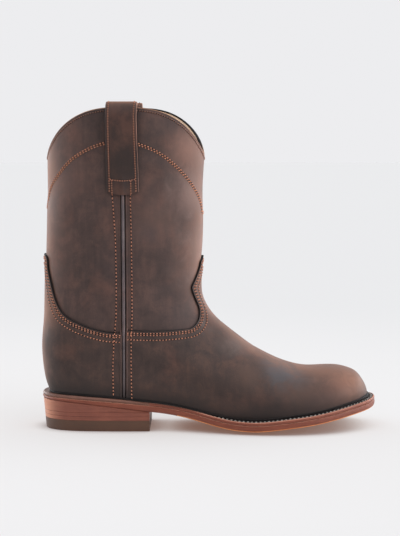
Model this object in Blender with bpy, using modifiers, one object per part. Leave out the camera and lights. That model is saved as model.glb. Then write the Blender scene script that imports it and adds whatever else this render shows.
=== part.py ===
"""Roper boot, right foot: a pull-on leather boot with a low stacked heel.

Metres, +Z up, +X towards the toe, +Y towards the medial (inner) side. The origin lies on the
floor, under the middle of the heel. Every wall of the upper is cut from one form, which is a
loft of sections that fan from the toe, round the throat, to the collar.
"""

import math
from collections import namedtuple

import bmesh
import bpy
import numpy as np
from mathutils import Vector
from mathutils.bvhtree import BVHTree

# Sizes of the sole and heel
OUTSOLE_LENGTH = 0.305
OUTSOLE_WIDTH = 0.108
HEEL_LENGTH = 0.099
HEEL_RISE = 0.0218
TOE_SPRING = 0.0168
WELT_THICKNESS = 0.0028
WELT_WIDTH = 0.0135
OUTSOLE_EDGE = 0.0056
SEAT_THINNING = 0.0030
OUTSOLE_CROWN = 0.0027
FLAT_DEPTH = 0.0002
TOP_LIFT_THICKNESS = 0.0095
WEDGE_FRONT = 0.0006
HEEL_TAPER = 0.0024
EDGE_CHAMFER = 0.0012
INSOLE_THICKNESS = 0.0058

# Sizes of the upper
INSTEP_HEIGHT = 0.100
LEG_HEIGHT = 0.0864
COLLAR_RISE = 0.0432
COLLAR_MEDIAL_RISE = 0.0015
COLLAR_MEDIAL_LEAD = 0.0070
FOOT_WIDTH = 0.0956
LEG_WIDTH = 0.095
LASTING_DEPTH = 0.0086
UPPER_WALL = 0.0024
OVERLAY_WALL = 0.0015

# Sizes of the side seams and pull straps
PIPING_WIDTH = 0.0034
PIPING_HEIGHT = 0.0024
PIPING_CLEARANCE = 0.0007
STRAP_WIDTH = 0.0280
STRAP_THICKNESS = 0.0024
STRAP_LENGTH = 0.0762
STRAP_END_CURVE = 0.0026
STRAP_ANCHOR = 0.0150
STRAP_BLEND = 0.040
STRAP_OVER_RIM = 0.0036
STRAP_SHOULDER = 0.0085
STRAP_STANDOFF = 0.0064
STRAP_INNER_STANDOFF = 0.0030

# Clearance between pieces that touch, and a wider one where a piece follows a curved wall
GAP = 0.0003
WALL_CLEARANCE = 0.0005

# Mesh fineness
RING_POINTS = 26
OUTLINE_STEPS = 38
INSOLE_STEPS = 24
STRAP_COLUMNS = 3
STRAP_LEG_ROWS = 9
STRAP_ARCH_ROWS = 7
PIPING_ROWS = 24
EDGE_SAMPLES = 3

BACK_X = -HEEL_LENGTH / 2
BREAST_X = HEEL_LENGTH / 2
SEAM_X = BACK_X + 0.25 * OUTSOLE_LENGTH
SEAM_HALF_GAP = PIPING_WIDTH / 2 + PIPING_CLEARANCE
EDGE_THICKNESS = WELT_THICKNESS + GAP + OUTSOLE_EDGE
BALL_THICKNESS = EDGE_THICKNESS + OUTSOLE_CROWN
FORM_INSET = OVERLAY_WALL + GAP

Profile = namedtuple("Profile", "along heel toe")
# Side view of the welt's top face. along: share of the outsole's length from the heel's back.
# heel, toe: shares of the heel rise and of the toe spring, above the ball.
SOLE_PROFILE = [
    Profile(0.000, 1.000, 0.000),
    Profile(0.075, 0.985, 0.000),
    Profile(0.180, 0.894, 0.000),
    Profile(0.256, 0.808, 0.000),
    Profile(0.325, 0.711, 0.000),
    Profile(0.385, 0.605, 0.000),
    Profile(0.444, 0.436, 0.000),
    Profile(0.500, 0.235, 0.000),
    Profile(0.556, 0.070, 0.000),
    Profile(0.600, 0.010, 0.000),
    Profile(0.636, 0.000, 0.000),
    Profile(0.680, 0.000, 0.060),
    Profile(0.740, 0.000, 0.190),
    Profile(0.816, 0.000, 0.370),
    Profile(0.895, 0.000, 0.640),
    Profile(0.950, 0.000, 0.835),
    Profile(1.000, 0.000, 1.000),
]

Outline = namedtuple("Outline", "along lateral medial")
# Plan of the outsole. along: share of its length. lateral, medial: shares of its width,
# measured from the line through the middle of the heel.
SOLE_OUTLINE = [
    Outline(0.010, 0.140, 0.140),
    Outline(0.040, 0.243, 0.242),
    Outline(0.095, 0.311, 0.306),
    Outline(0.174, 0.335, 0.328),
    Outline(0.256, 0.338, 0.318),
    Outline(0.338, 0.333, 0.298),
    Outline(0.420, 0.344, 0.284),
    Outline(0.485, 0.380, 0.297),
    Outline(0.551, 0.435, 0.345),
    Outline(0.616, 0.481, 0.415),
    Outline(0.682, 0.502, 0.472),
    Outline(0.741, 0.498, 0.498),
    Outline(0.800, 0.473, 0.500),
    Outline(0.852, 0.430, 0.482),
    Outline(0.905, 0.356, 0.436),
    Outline(0.951, 0.255, 0.358),
    Outline(0.984, 0.136, 0.250),
]
TOE_TIP_SIDE = 0.060  # share of the outsole's width that the tip lies on the medial side

Section = namedtuple(
    "Section",
    "front front_rise heel heel_rise leg lateral medial calf keel belly upper lower arch",
)
# Sections of the form from the toe tip to the collar. Each lies in a plane across the boot,
# through a point of the front profile and one of the bottom or back profile.
# front, heel: shares of the outsole's length. front_rise, heel_rise: shares of the instep
# height, above the welt and above the lasted bottom. leg: share of the leg height added to
# both. lateral, medial: half widths, as shares of the foot width, plus calf times the leg
# width. keel: the shift of the middle line to the medial side, as a share of the foot width.
# belly: where the section is widest. upper, lower: powers of the curves above and below it.
# arch: share of the collar's rise at the sides.
SECTIONS = [
    Section(0.9784, 0.020, 0.9784, 0.106, 0, 0.000, 0.000, 0, 0.068, 0.50, 2.00, 2.0, 0),
    Section(0.9768, 0.055, 0.9768, 0.071, 0, 0.062, 0.060, 0, 0.068, 0.50, 2.00, 2.1, 0),
    Section(0.9712, 0.110, 0.9712, 0.045, 0, 0.130, 0.125, 0, 0.067, 0.48, 2.05, 2.3, 0),
    Section(0.9607, 0.174, 0.9607, 0.029, 0, 0.208, 0.198, 0, 0.066, 0.44, 2.10, 2.6, 0),
    Section(0.9443, 0.243, 0.9443, 0.019, 0, 0.288, 0.268, 0, 0.065, 0.41, 2.20, 3.0, 0),
    Section(0.9197, 0.293, 0.9197, 0.007, 0, 0.358, 0.327, 0, 0.062, 0.38, 2.25, 3.5, 0),
    Section(0.8820, 0.338, 0.8820, 0.000, 0, 0.430, 0.385, 0, 0.057, 0.35, 2.30, 4.0, 0),
    Section(0.8295, 0.369, 0.8295, 0.000, 0, 0.494, 0.430, 0, 0.052, 0.33, 2.25, 4.4, 0),
    Section(0.7738, 0.399, 0.7738, 0.000, 0, 0.532, 0.451, 0, 0.050, 0.33, 2.15, 4.5, 0),
    Section(0.7148, 0.476, 0.7148, 0.000, 0, 0.551, 0.445, 0, 0.047, 0.33, 2.05, 4.5, 0),
    Section(0.6557, 0.578, 0.6426, 0.000, 0, 0.538, 0.400, 0, 0.044, 0.34, 1.95, 4.5, 0),
    Section(0.5934, 0.701, 0.5443, 0.000, 0, 0.498, 0.357, 0, 0.040, 0.36, 1.88, 4.6, 0),
    Section(0.5387, 0.816, 0.4328, 0.000, 0, 0.448, 0.345, 0, 0.031, 0.38, 1.85, 4.8, 0),
    Section(0.5033, 0.902, 0.3115, 0.000, 0, 0.422, 0.361, 0, 0.021, 0.41, 1.88, 5.0, 0),
    Section(0.4830, 1.002, 0.1836, 0.000, 0, 0.402, 0.372, 0, 0.010, 0.45, 1.92, 5.0, 0),
    Section(0.4780, 1.096, 0.0787, 0.005, 0, 0.392, 0.382, 0, 0.005, 0.49, 1.96, 4.4, 0),
    Section(0.4790, 1.184, 0.0200, 0.121, 0, 0.389, 0.389, 0, 0.000, 0.50, 2.00, 3.5, 0),
    Section(0.4810, 1.276, -0.0003, 0.448, 0, 0.395, 0.395, 0, 0.000, 0.50, 2.02, 2.9, 0),
    Section(0.4835, 1.392, 0.0043, 0.774, 0, 0.404, 0.404, 0, 0.000, 0.50, 2.05, 2.5, 0),
    Section(0.4875, 1.422, 0.0062, 0.919, 0.19, 0.210, 0.210, 0.215, 0.000, 0.50, 2.08, 2.3, 0.02),
    Section(0.4862, 1.422, 0.0085, 1.071, 0.51, 0.105, 0.105, 0.355, 0.000, 0.50, 2.10, 2.2, 0.22),
    Section(0.4882, 1.422, 0.0112, 1.211, 0.78, 0.030, 0.030, 0.458, 0.000, 0.50, 2.10, 2.1, 0.62),
    Section(0.4925, 1.427, 0.0131, 1.353, 1.00, 0.000, 0.000, 0.500, 0.000, 0.50, 2.10, 2.1, 1.00),
]
# Rows of the table between which one more ring is lofted
FIRST_DOUBLED = 5
LAST_DOUBLED = 18
# How the collar's edge rises from its dips at the front and back to the sides
ARCH_FRONT_POWER = 2.75
ARCH_BACK_POWER = 2.85
ARCH_SHAPE = 0.75

Edge = namedtuple("Edge", "along rise")
# Side view of the vamp's upper edge, from the side seam to the notch, then up the tongue.
# along: share of the outsole's length. rise: share of the instep height, above the welt.
VAMP_EDGE = [
    Edge(0.262, 0.628),
    Edge(0.312, 0.638),
    Edge(0.371, 0.659),
    Edge(0.430, 0.704),
    Edge(0.4535, 0.738),
    Edge(0.4675, 0.794),
    Edge(0.4734, 0.862),
    Edge(0.4700, 0.932),
    Edge(0.4575, 1.015),
    Edge(0.4500, 1.087),
]
TONGUE_EDGE = [
    Edge(0.4500, 1.087),
    Edge(0.4640, 1.190),
    Edge(0.4741, 1.285),
    Edge(0.4786, 1.345),
    Edge(0.4920, 1.400),
]
# Side view of the counter's upper edge, from the side seam to the back
COUNTER_EDGE = [
    Edge(0.238, 0.599),
    Edge(0.194, 0.600),
    Edge(0.135, 0.637),
    Edge(0.086, 0.697),
    Edge(0.060, 0.764),
    Edge(0.041, 0.883),
    Edge(0.029, 1.018),
    Edge(0.021, 1.126),
    Edge(0.018, 1.215),
    Edge(0.006, 1.250),
    Edge(-0.016, 1.262),
]

LEATHER = ((0.105, 0.067, 0.052), 0.62)
STRAP_LEATHER = ((0.115, 0.070, 0.052), 0.60)
PIPING_LEATHER = ((0.10, 0.085, 0.085), 0.45)
SOLE_LEATHER = ((0.33, 0.125, 0.075), 0.45)
RAND_LEATHER = ((0.22, 0.11, 0.075), 0.5)
HEEL_RUBBER = ((0.10, 0.06, 0.045), 0.7)
INSOLE_LEATHER = ((0.62, 0.44, 0.28), 0.7)


# Curves through the tables


def spline(values, closed=False):
    """A smooth curve through values at 0, 1, 2 and so on, as a function of the position."""
    values = np.asarray(values, float)
    count = len(values)
    system = 4.0 * np.eye(count)
    bends = np.zeros(count)
    for i in range(count):
        before, after = (i - 1) % count, (i + 1) % count
        if not closed and i in (0, count - 1):
            system[i, i] = 1.0
            continue
        system[i, before] += 1.0
        system[i, after] += 1.0
        bends[i] = 6.0 * (values[before] - 2.0 * values[i] + values[after])
    bends = np.linalg.solve(system, bends)

    def at(position):
        spans = count if closed else count - 1
        position = position % count if closed else min(max(position, 0.0), spans)
        i = min(int(position), spans - 1)
        j = (i + 1) % count
        t = position - i
        straight = values[i] * (1 - t) + values[j] * t
        sag = (bends[i] * ((1 - t) ** 3 - (1 - t)) + bends[j] * (t**3 - t)) / 6.0
        return float(straight + sag)

    return at


def curves_of(rows):
    """One spline for each column of a table."""
    return [spline(column) for column in zip(*rows)]


def position_where(curve, value, low, high):
    """The position between low and high where a rising or falling curve reaches value."""
    rising = curve(high) > curve(low)
    for _ in range(40):
        middle = (low + high) / 2
        if (curve(middle) < value) == rising:
            low = middle
        else:
            high = middle
    return (low + high) / 2


PROFILE_ALONG, PROFILE_HEEL, PROFILE_TOE = curves_of(SOLE_PROFILE)
SECTION_CURVES = curves_of(SECTIONS)


def x_of(share):
    return BACK_X + share * OUTSOLE_LENGTH


def blend(value, start, end):
    """0 before start and 1 after end, with a smooth change between them."""
    t = min(max((value - start) / (end - start), 0.0), 1.0)
    return t * t * (3 - 2 * t)


def sole_top(x):
    """Height of the welt's top face, on which the upper stands."""
    share = (x - BACK_X) / OUTSOLE_LENGTH
    position = position_where(PROFILE_ALONG, share, 0.0, len(SOLE_PROFILE) - 1.0)
    rise = PROFILE_HEEL(position) * HEEL_RISE + PROFILE_TOE(position) * TOE_SPRING
    return BALL_THICKNESS - FLAT_DEPTH + rise


def outsole_top(x):
    return sole_top(x) - WELT_THICKNESS - GAP


def outsole_edge(x):
    """Height of the outsole's lower edge at its sides. It thins towards the heel's back."""
    thinning = SEAT_THINNING * blend(-x, -BREAST_X, -BACK_X)
    return sole_top(x) - EDGE_THICKNESS + thinning


def outsole_tread(x):
    """Height of the middle of the outsole's underside, flat on the floor at the ball."""
    crown = OUTSOLE_CROWN * blend(x, BREAST_X, x_of(0.53)) * blend(-x, -x_of(0.98), -x_of(0.78))
    return max(outsole_edge(x) - crown, 0.0)


# Making pieces


def new_collection(name):
    made = bpy.data.collections.new(name)
    bpy.context.scene.collection.children.link(made)
    return made


def mesh_from(name, points, faces):
    """A mesh from computed points and faces. Points that fall together become one."""
    work = bmesh.new()
    verts = [work.verts.new(point) for point in points]
    for face in faces:
        work.faces.new([verts[i] for i in face])
    bmesh.ops.remove_doubles(work, verts=work.verts, dist=0.00002)
    bmesh.ops.recalc_face_normals(work, faces=work.faces)
    mesh = bpy.data.meshes.new(name)
    work.to_mesh(mesh)
    work.free()
    return mesh


def new_piece(name, mesh, finish, sharp_angle=40.0):
    """Links a mesh as one named piece of the boot, with its own material."""
    colour, roughness = finish
    material = bpy.data.materials.new(name)
    material.use_nodes = True
    shader = material.node_tree.nodes["Principled BSDF"]
    shader.inputs["Base Color"].default_value = (*colour, 1.0)
    shader.inputs["Roughness"].default_value = roughness
    material.diffuse_color = (*colour, 1.0)
    mesh.materials.append(material)
    mesh.shade_smooth()
    mesh.set_sharp_from_angle(angle=math.radians(sharp_angle))
    piece = bpy.data.objects.new(name, mesh)
    BOOT.objects.link(piece)
    return piece


def new_cutter(name, mesh):
    """Links a mesh as a helper that shapes other pieces."""
    cutter = bpy.data.objects.new(name, mesh)
    CUTTERS.objects.link(cutter)
    cutter.hide_render = True
    cutter.display_type = "WIRE"
    return cutter


def shape_by(piece, cutter, operation):
    modifier = piece.modifiers.new(cutter.name, "BOOLEAN")
    modifier.object = cutter
    modifier.operation = operation
    modifier.solver = "EXACT"


def thicken(piece, thickness):
    """Gives an open surface a wall on its inner side."""
    modifier = piece.modifiers.new("Wall", "SOLIDIFY")
    modifier.thickness = thickness
    modifier.offset = -1.0


def ring_faces(rows, corners, closed_ends=True):
    """Faces between rows of corners, for a bar whose section has that many corners."""
    faces = []
    for k in range(rows):
        for j in range(corners):
            a, b = k * corners + j, k * corners + (j + 1) % corners
            faces.append((a, b, b + corners, a + corners))
    if closed_ends:
        faces.append(tuple(range(corners)))
        faces.append(tuple(range(rows * corners, (rows + 1) * corners)))
    return faces


# The sole and heel


def closed_outline():
    """Splines of x and y from the heel's back, along the lateral side, the toe and back."""
    xs = [row.along for row in SOLE_OUTLINE]
    lateral = [-row.lateral * OUTSOLE_WIDTH for row in SOLE_OUTLINE]
    medial = [row.medial * OUTSOLE_WIDTH for row in SOLE_OUTLINE]
    shares = [0.0] + xs + [1.0] + xs[::-1]
    sides = [0.0] + lateral + [TOE_TIP_SIDE * OUTSOLE_WIDTH] + medial[::-1]
    return spline([x_of(share) for share in shares], True), spline(sides, True), len(shares)


OUTLINE_X, OUTLINE_Y, OUTLINE_SPAN = closed_outline()


def outline_point(position, inset=0.0):
    """(x, y) on the sole's outline, moved inwards by inset."""
    step = 0.02
    along_x = OUTLINE_X(position + step) - OUTLINE_X(position - step)
    along_y = OUTLINE_Y(position + step) - OUTLINE_Y(position - step)
    length = math.hypot(along_x, along_y)
    x = OUTLINE_X(position) - inset * along_y / length
    y = OUTLINE_Y(position) + inset * along_x / length
    return x, y


def outline_position(x):
    """Where the outline's lateral side crosses x. The medial side's place mirrors it."""
    return position_where(OUTLINE_X, x, 0.0, OUTLINE_SPAN / 2)


def plate_mesh(name, start, end, levels, tread=None, steps=OUTLINE_STEPS):
    """A solid between the lateral and medial sides of the outline, from a start to an end
    position. levels: (inset, height at x) of the side's corners, from the top down.
    tread: (share of the width, height at x) of two more corners on the underside."""
    points = []
    for k in range(steps + 1):
        position = start + (end - start) * k / steps
        lateral, medial = [], []
        for inset, height in levels:
            x, y = outline_point(position, inset)
            lateral.append((x, y, height(x)))
            x, y = outline_point(-position, inset)
            medial.insert(0, (x, y, height(x)))
        if tread:
            share, height = tread
            outer, inner = Vector(lateral[-1]), Vector(medial[0])
            for weight in (share, 1 - share):
                spot = outer.lerp(inner, weight)
                lateral.append((spot.x, spot.y, height(spot.x)))
        points += lateral + medial
    corners = 2 * len(levels) + (2 if tread else 0)
    faces = ring_faces(steps, corners, closed_ends=False)
    if start > 0:
        faces.append(tuple(range(corners)))
    if end < OUTLINE_SPAN / 2:
        faces.append(tuple(range(steps * corners, (steps + 1) * corners)))
    return mesh_from(name, points, faces)


def rim_strip(name, start, end, rows, finish):
    """A flat strip along the sole's edge, from one outline position to another."""
    corners = (
        (0.0, 0.0),
        (WELT_WIDTH, 0.0),
        (WELT_WIDTH, WELT_THICKNESS),
        (0.0, WELT_THICKNESS),
    )
    points = []
    for k in range(rows + 1):
        position = start + (end - start) * k / rows
        for inset, drop in corners:
            x, y = outline_point(position, inset)
            points.append((x, y, sole_top(x) - drop))
    return new_piece(name, mesh_from(name, points, ring_faces(rows, 4)), finish)


def level(height):
    return lambda x: height


def make_sole():
    toe = OUTLINE_SPAN / 2
    breast = outline_position(BREAST_X)
    levels = (
        (0.0, outsole_top),
        (0.0, lambda x: outsole_edge(x) + EDGE_CHAMFER),
        (EDGE_CHAMFER, outsole_edge),
    )
    mesh = plate_mesh("outsole", 0.0, toe, levels, tread=(0.24, outsole_tread))
    new_piece("outsole", mesh, SOLE_LEATHER)
    after = outline_position(BREAST_X + GAP / 2)
    before = outline_position(BREAST_X - GAP / 2)
    rim_strip("welt", after, OUTLINE_SPAN - after, 44, SOLE_LEATHER)
    rim_strip("heel_rand", -before, before, 24, RAND_LEATHER)

    wedge_bottom = outsole_edge(BREAST_X) - GAP - WEDGE_FRONT
    lift = (wedge_bottom - TOP_LIFT_THICKNESS - 3 * GAP) / 2
    lower_bottom = TOP_LIFT_THICKNESS + GAP
    upper_bottom = lower_bottom + lift + GAP
    stack = (
        ("top_lift", 0.0, level(TOP_LIFT_THICKNESS), HEEL_RUBBER),
        ("heel_lift_lower", lower_bottom, level(lower_bottom + lift), SOLE_LEATHER),
        ("heel_lift_upper", upper_bottom, level(upper_bottom + lift), SOLE_LEATHER),
        ("heel_wedge", wedge_bottom, lambda x: outsole_edge(x) - GAP, SOLE_LEATHER),
    )
    full = outsole_edge(BACK_X)
    for name, bottom, top, finish in stack:
        inset_low = EDGE_CHAMFER + HEEL_TAPER * (1 - bottom / full)
        inset_high = EDGE_CHAMFER + HEEL_TAPER * (1 - min(top(BACK_X), full) / full)
        levels = ((inset_high, top), (inset_low, level(bottom)))
        new_piece(name, plate_mesh(name, 0.0, breast, levels), finish)


# The form of the upper


def section_at(position):
    return Section(*(curve(position) for curve in SECTION_CURVES))


def form_point(position, angle):
    """A point on the outside of the upper. position counts the rows of SECTIONS, and angle
    goes from the front, round the lateral side and the bottom or back, to the medial side."""
    row = section_at(position)
    front_x, heel_x = x_of(row.front), x_of(row.heel)
    leg = row.leg * LEG_HEIGHT
    front_z = sole_top(front_x) + row.front_rise * INSTEP_HEIGHT + leg
    heel_z = sole_top(heel_x) - LASTING_DEPTH + row.heel_rise * INSTEP_HEIGHT + leg
    keel = row.keel * FOOT_WIDTH
    cosine, sine = math.cos(angle), math.sin(angle)
    if cosine >= 0:
        power = row.upper
        share = row.belly + (1 - row.belly) * abs(cosine) ** (2 / power)
    else:
        power = row.lower
        share = row.belly - row.belly * abs(cosine) ** (2 / power)
    half = (row.lateral if sine >= 0 else row.medial) * FOOT_WIDTH + row.calf * LEG_WIDTH
    x = heel_x + share * (front_x - heel_x)
    y = keel - math.copysign(max(half, 0.0) * abs(sine) ** (2 / power), sine)
    z = heel_z + share * (front_z - heel_z)
    middle = (x_of(SECTIONS[-1].front) + x_of(SECTIONS[-1].heel)) / 2
    reach = (x_of(SECTIONS[-1].front) - x_of(SECTIONS[-1].heel)) / 2
    medial = max(-sine, 0.0)
    off = min(abs(x - COLLAR_MEDIAL_LEAD * medial - middle) / reach, 1.0)
    arch_power = ARCH_FRONT_POWER if x > middle else ARCH_BACK_POWER
    rise = COLLAR_RISE + COLLAR_MEDIAL_RISE * medial
    z += max(row.arch, 0.0) * rise * (1 - off**arch_power) ** ARCH_SHAPE
    return Vector((x, y, z))


def ring_positions():
    positions = []
    for row in range(len(SECTIONS)):
        positions.append(float(row))
        if FIRST_DOUBLED <= row < LAST_DOUBLED:
            positions.append(row + 0.5)
    return positions[1:]


def form_mesh(name, depth, capped=False):
    """The form's surface, moved inwards by depth and open at the collar unless capped."""
    work = bmesh.new()
    tip = work.verts.new(form_point(0.0, 0.0))
    rings = []
    for position in ring_positions():
        angles = [math.tau * j / RING_POINTS for j in range(RING_POINTS)]
        rings.append([work.verts.new(form_point(position, angle)) for angle in angles])
    for j in range(RING_POINTS):
        after = (j + 1) % RING_POINTS
        work.faces.new((tip, rings[0][j], rings[0][after]))
        for low, high in zip(rings, rings[1:]):
            work.faces.new((low[j], high[j], high[after], low[after]))
    if capped:
        work.faces.new(rings[-1])
    work.normal_update()
    if (tip.co - rings[5][0].co).dot(tip.normal) < 0:
        bmesh.ops.reverse_faces(work, faces=work.faces)
        work.normal_update()
    moved = [vert.co - vert.normal * depth for vert in work.verts]
    for vert, place in zip(work.verts, moved):
        vert.co = place
    mesh = bpy.data.meshes.new(name)
    work.to_mesh(mesh)
    work.free()
    return mesh


def wall_tree(depth):
    """A tree to find the places of a wall's face at a depth in the form."""
    work = bmesh.new()
    mesh = form_mesh("probe", depth)
    work.from_mesh(mesh)
    tree = BVHTree.FromBMesh(work)
    work.free()
    bpy.data.meshes.remove(mesh)
    return tree


def wall_y(tree, x, z, side):
    """y of a wall's face at x and z, on the lateral (-1) or medial (1) side."""
    start = Vector((x, side * (FOOT_WIDTH + LEG_WIDTH), z))
    return tree.ray_cast(start, Vector((0.0, -side, 0.0)))[0].y


# Pieces of the upper


def smooth_edge(rows):
    """Points (x, z) along an overlay's edge in side view."""
    alongs, rises = curves_of(rows)
    points = []
    for k in range((len(rows) - 1) * EDGE_SAMPLES + 1):
        x = x_of(alongs(k / EDGE_SAMPLES))
        points.append((x, sole_top(x) + rises(k / EDGE_SAMPLES) * INSTEP_HEIGHT))
    return points


def foot_line(start, end, count=40):
    """Points (x, z) just above the welt, from start to end."""
    xs = [start + (end - start) * k / count for k in range(count + 1)]
    return [(x, sole_top(x) + GAP) for x in xs]


def prism(name, outline):
    """A cutter with this outline in side view, through the whole width of the boot."""
    reach = FOOT_WIDTH + LEG_WIDTH
    points = [(x, side * reach, z) for side in (-1, 1) for x, z in outline]
    return new_cutter(name, mesh_from(name, points, ring_faces(1, len(outline))))


def make_upper():
    upper = new_piece("upper", form_mesh("upper", FORM_INSET), LEATHER)
    thicken(upper, UPPER_WALL)
    back, front = BACK_X - LASTING_DEPTH, x_of(1.0) + LASTING_DEPTH
    below = -LASTING_DEPTH
    ground = foot_line(back, front) + [(front, below), (back, below)]
    shape_by(upper, prism("ground", ground), "DIFFERENCE")

    seam = SEAM_X + SEAM_HALF_GAP
    edge = smooth_edge(VAMP_EDGE) + smooth_edge(TONGUE_EDGE)[1:]
    edge[0] = (seam, edge[0][1])
    vamp = new_piece("vamp", form_mesh("vamp", 0.0), LEATHER)
    thicken(vamp, OVERLAY_WALL)
    outline = edge + [(front, edge[-1][1])] + foot_line(front, seam)
    shape_by(vamp, prism("vamp outline", outline), "INTERSECT")

    seam = SEAM_X - SEAM_HALF_GAP
    edge = smooth_edge(COUNTER_EDGE)
    edge[0] = (seam, edge[0][1])
    counter = new_piece("counter", form_mesh("counter", 0.0), LEATHER)
    thicken(counter, OVERLAY_WALL)
    outline = edge + foot_line(edge[-1][0], seam)
    shape_by(counter, prism("counter outline", outline), "INTERSECT")


def make_insole():
    """Fills the space inside the welt, and covers the welt up to the upper's wall."""
    inset = WELT_WIDTH + WALL_CLEARANCE
    levels = (
        (GAP, lambda x: outsole_top(x) + GAP + INSOLE_THICKNESS),
        (GAP, lambda x: sole_top(x) + GAP),
        (inset, lambda x: sole_top(x) + GAP),
        (inset, lambda x: outsole_top(x) + GAP),
    )
    mesh = plate_mesh("insole", 0.0, OUTLINE_SPAN / 2, levels, steps=INSOLE_STEPS)
    insole = new_piece("insole", mesh, INSOLE_LEATHER)
    depth = FORM_INSET + UPPER_WALL + WALL_CLEARANCE
    cavity = new_cutter("foot space", form_mesh("foot space", depth, capped=True))
    shape_by(insole, cavity, "INTERSECT")


def rim_height(side):
    angles = [math.pi * j / 48 for j in range(49)]
    return max(form_point(len(SECTIONS) - 1, -side * angle).z for angle in angles)


def make_piping(name, side, outer):
    """A rounded cord over the side seam, from the welt to the foot of the pull strap."""
    low = sole_top(SEAM_X) + WALL_CLEARANCE
    high = rim_height(side) - STRAP_LENGTH - WALL_CLEARANCE
    section = ((-0.5, 0.0), (-0.5, 0.35), (-0.22, 0.9), (0.22, 0.9), (0.5, 0.35), (0.5, 0.0))
    points = []
    for k in range(PIPING_ROWS + 1):
        z = low + (high - low) * k / PIPING_ROWS
        for across, out in section:
            edge_x = SEAM_X + math.copysign(PIPING_WIDTH / 2, across)
            y = wall_y(outer, edge_x, z, side)
            y += side * (WALL_CLEARANCE + out * PIPING_HEIGHT)
            points.append((SEAM_X + across * PIPING_WIDTH, y, z))
    mesh = mesh_from(name, points, ring_faces(PIPING_ROWS, len(section)))
    new_piece(name, mesh, PIPING_LEATHER, 60.0)


def make_strap(name, side, outer, inner):
    """A pull strap, fixed low on the outside, over the collar's edge and down the inside."""
    rim = rim_height(side)
    shoulder = rim - STRAP_SHOULDER
    half = STRAP_THICKNESS / 2
    clear = WALL_CLEARANCE + half
    top = rim + STRAP_OVER_RIM + half
    rows = []
    for column in range(STRAP_COLUMNS + 1):
        across = 2 * column / STRAP_COLUMNS - 1
        x = SEAM_X + across * STRAP_WIDTH / 2
        foot = rim - STRAP_LENGTH + STRAP_END_CURVE * across**2
        path = []
        for tree, standoff, outwards in ((outer, STRAP_STANDOFF, 1), (inner, STRAP_INNER_STANDOFF, -1)):
            leg = []
            for k in range(STRAP_LEG_ROWS + 1):
                z = foot + (shoulder - foot) * k / STRAP_LEG_ROWS
                free = blend(z, rim - STRAP_LENGTH + STRAP_ANCHOR,
                             rim - STRAP_LENGTH + STRAP_ANCHOR + STRAP_BLEND)
                hugging = wall_y(tree, x, z, side)
                flat = wall_y(tree, SEAM_X, z, side)
                y = hugging + (flat - hugging) * free
                leg.append((y + side * outwards * (clear + standoff * free), z))
            path.append(leg)
        outside, inside = path
        middle = (outside[-1][0] + inside[-1][0]) / 2
        spread = abs(outside[-1][0] - inside[-1][0]) / 2
        arch = []
        for k in range(1, STRAP_ARCH_ROWS):
            turn = math.pi * k / STRAP_ARCH_ROWS
            y = middle + side * spread * math.cos(turn)
            arch.append((y, shoulder + (top - shoulder) * math.sin(turn)))
        rows.append([(x, y, z) for y, z in outside + arch + inside[::-1]])
    length = len(rows[0])
    points = [point for row in rows for point in row]
    faces = []
    for i in range(STRAP_COLUMNS):
        for j in range(length - 1):
            a = i * length + j
            faces.append((a, a + 1, a + 1 + length, a + length))
    strap = new_piece(name, mesh_from(name, points, faces), STRAP_LEATHER)
    wall = strap.modifiers.new("Wall", "SOLIDIFY")
    wall.thickness = STRAP_THICKNESS
    wall.offset = 0.0
    wall.use_even_offset = True


for existing in list(bpy.data.objects):
    bpy.data.objects.remove(existing)
BOOT = new_collection("roper boot")
CUTTERS = new_collection("cutters")

make_sole()
make_upper()
make_insole()
outer_wall = wall_tree(FORM_INSET)
inner_wall = wall_tree(FORM_INSET + UPPER_WALL)
for side_name, side_sign in (("lateral", -1), ("medial", 1)):
    make_piping(f"side_piping_{side_name}", side_sign, outer_wall)
    make_strap(f"pull_strap_{side_name}", side_sign, outer_wall, inner_wall)
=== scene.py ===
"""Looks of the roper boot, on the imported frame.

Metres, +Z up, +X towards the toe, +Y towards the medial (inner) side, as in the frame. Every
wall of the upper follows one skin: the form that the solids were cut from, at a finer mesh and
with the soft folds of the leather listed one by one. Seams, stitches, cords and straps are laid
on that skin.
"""

import math
from collections import namedtuple

import bmesh
import bpy
import numpy as np
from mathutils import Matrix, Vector
from mathutils.bvhtree import BVHTree


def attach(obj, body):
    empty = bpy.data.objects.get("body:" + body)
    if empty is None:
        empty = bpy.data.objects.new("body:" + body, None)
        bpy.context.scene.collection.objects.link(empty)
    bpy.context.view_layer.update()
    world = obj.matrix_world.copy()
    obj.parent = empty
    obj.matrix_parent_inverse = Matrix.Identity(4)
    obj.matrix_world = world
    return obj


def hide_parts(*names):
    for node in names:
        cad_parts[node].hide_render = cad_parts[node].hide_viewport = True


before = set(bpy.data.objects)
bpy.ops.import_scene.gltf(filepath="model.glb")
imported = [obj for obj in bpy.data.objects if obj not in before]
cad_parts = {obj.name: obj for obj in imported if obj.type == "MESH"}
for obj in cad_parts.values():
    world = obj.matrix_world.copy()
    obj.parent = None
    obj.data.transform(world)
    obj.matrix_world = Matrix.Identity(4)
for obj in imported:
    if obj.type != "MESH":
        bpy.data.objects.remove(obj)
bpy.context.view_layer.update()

# Sizes of the sole and heel, as in the frame
OUTSOLE_LENGTH = 0.305
OUTSOLE_WIDTH = 0.108
HEEL_LENGTH = 0.099
HEEL_RISE = 0.0218
TOE_SPRING = 0.0168
WELT_THICKNESS = 0.0028
WELT_WIDTH = 0.0135
OUTSOLE_EDGE = 0.0056
SEAT_THINNING = 0.0030
OUTSOLE_CROWN = 0.0027
FLAT_DEPTH = 0.0002
TOP_LIFT_THICKNESS = 0.0095
WEDGE_FRONT = 0.0006
HEEL_TAPER = 0.0024
EDGE_CHAMFER = 0.0012

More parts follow.
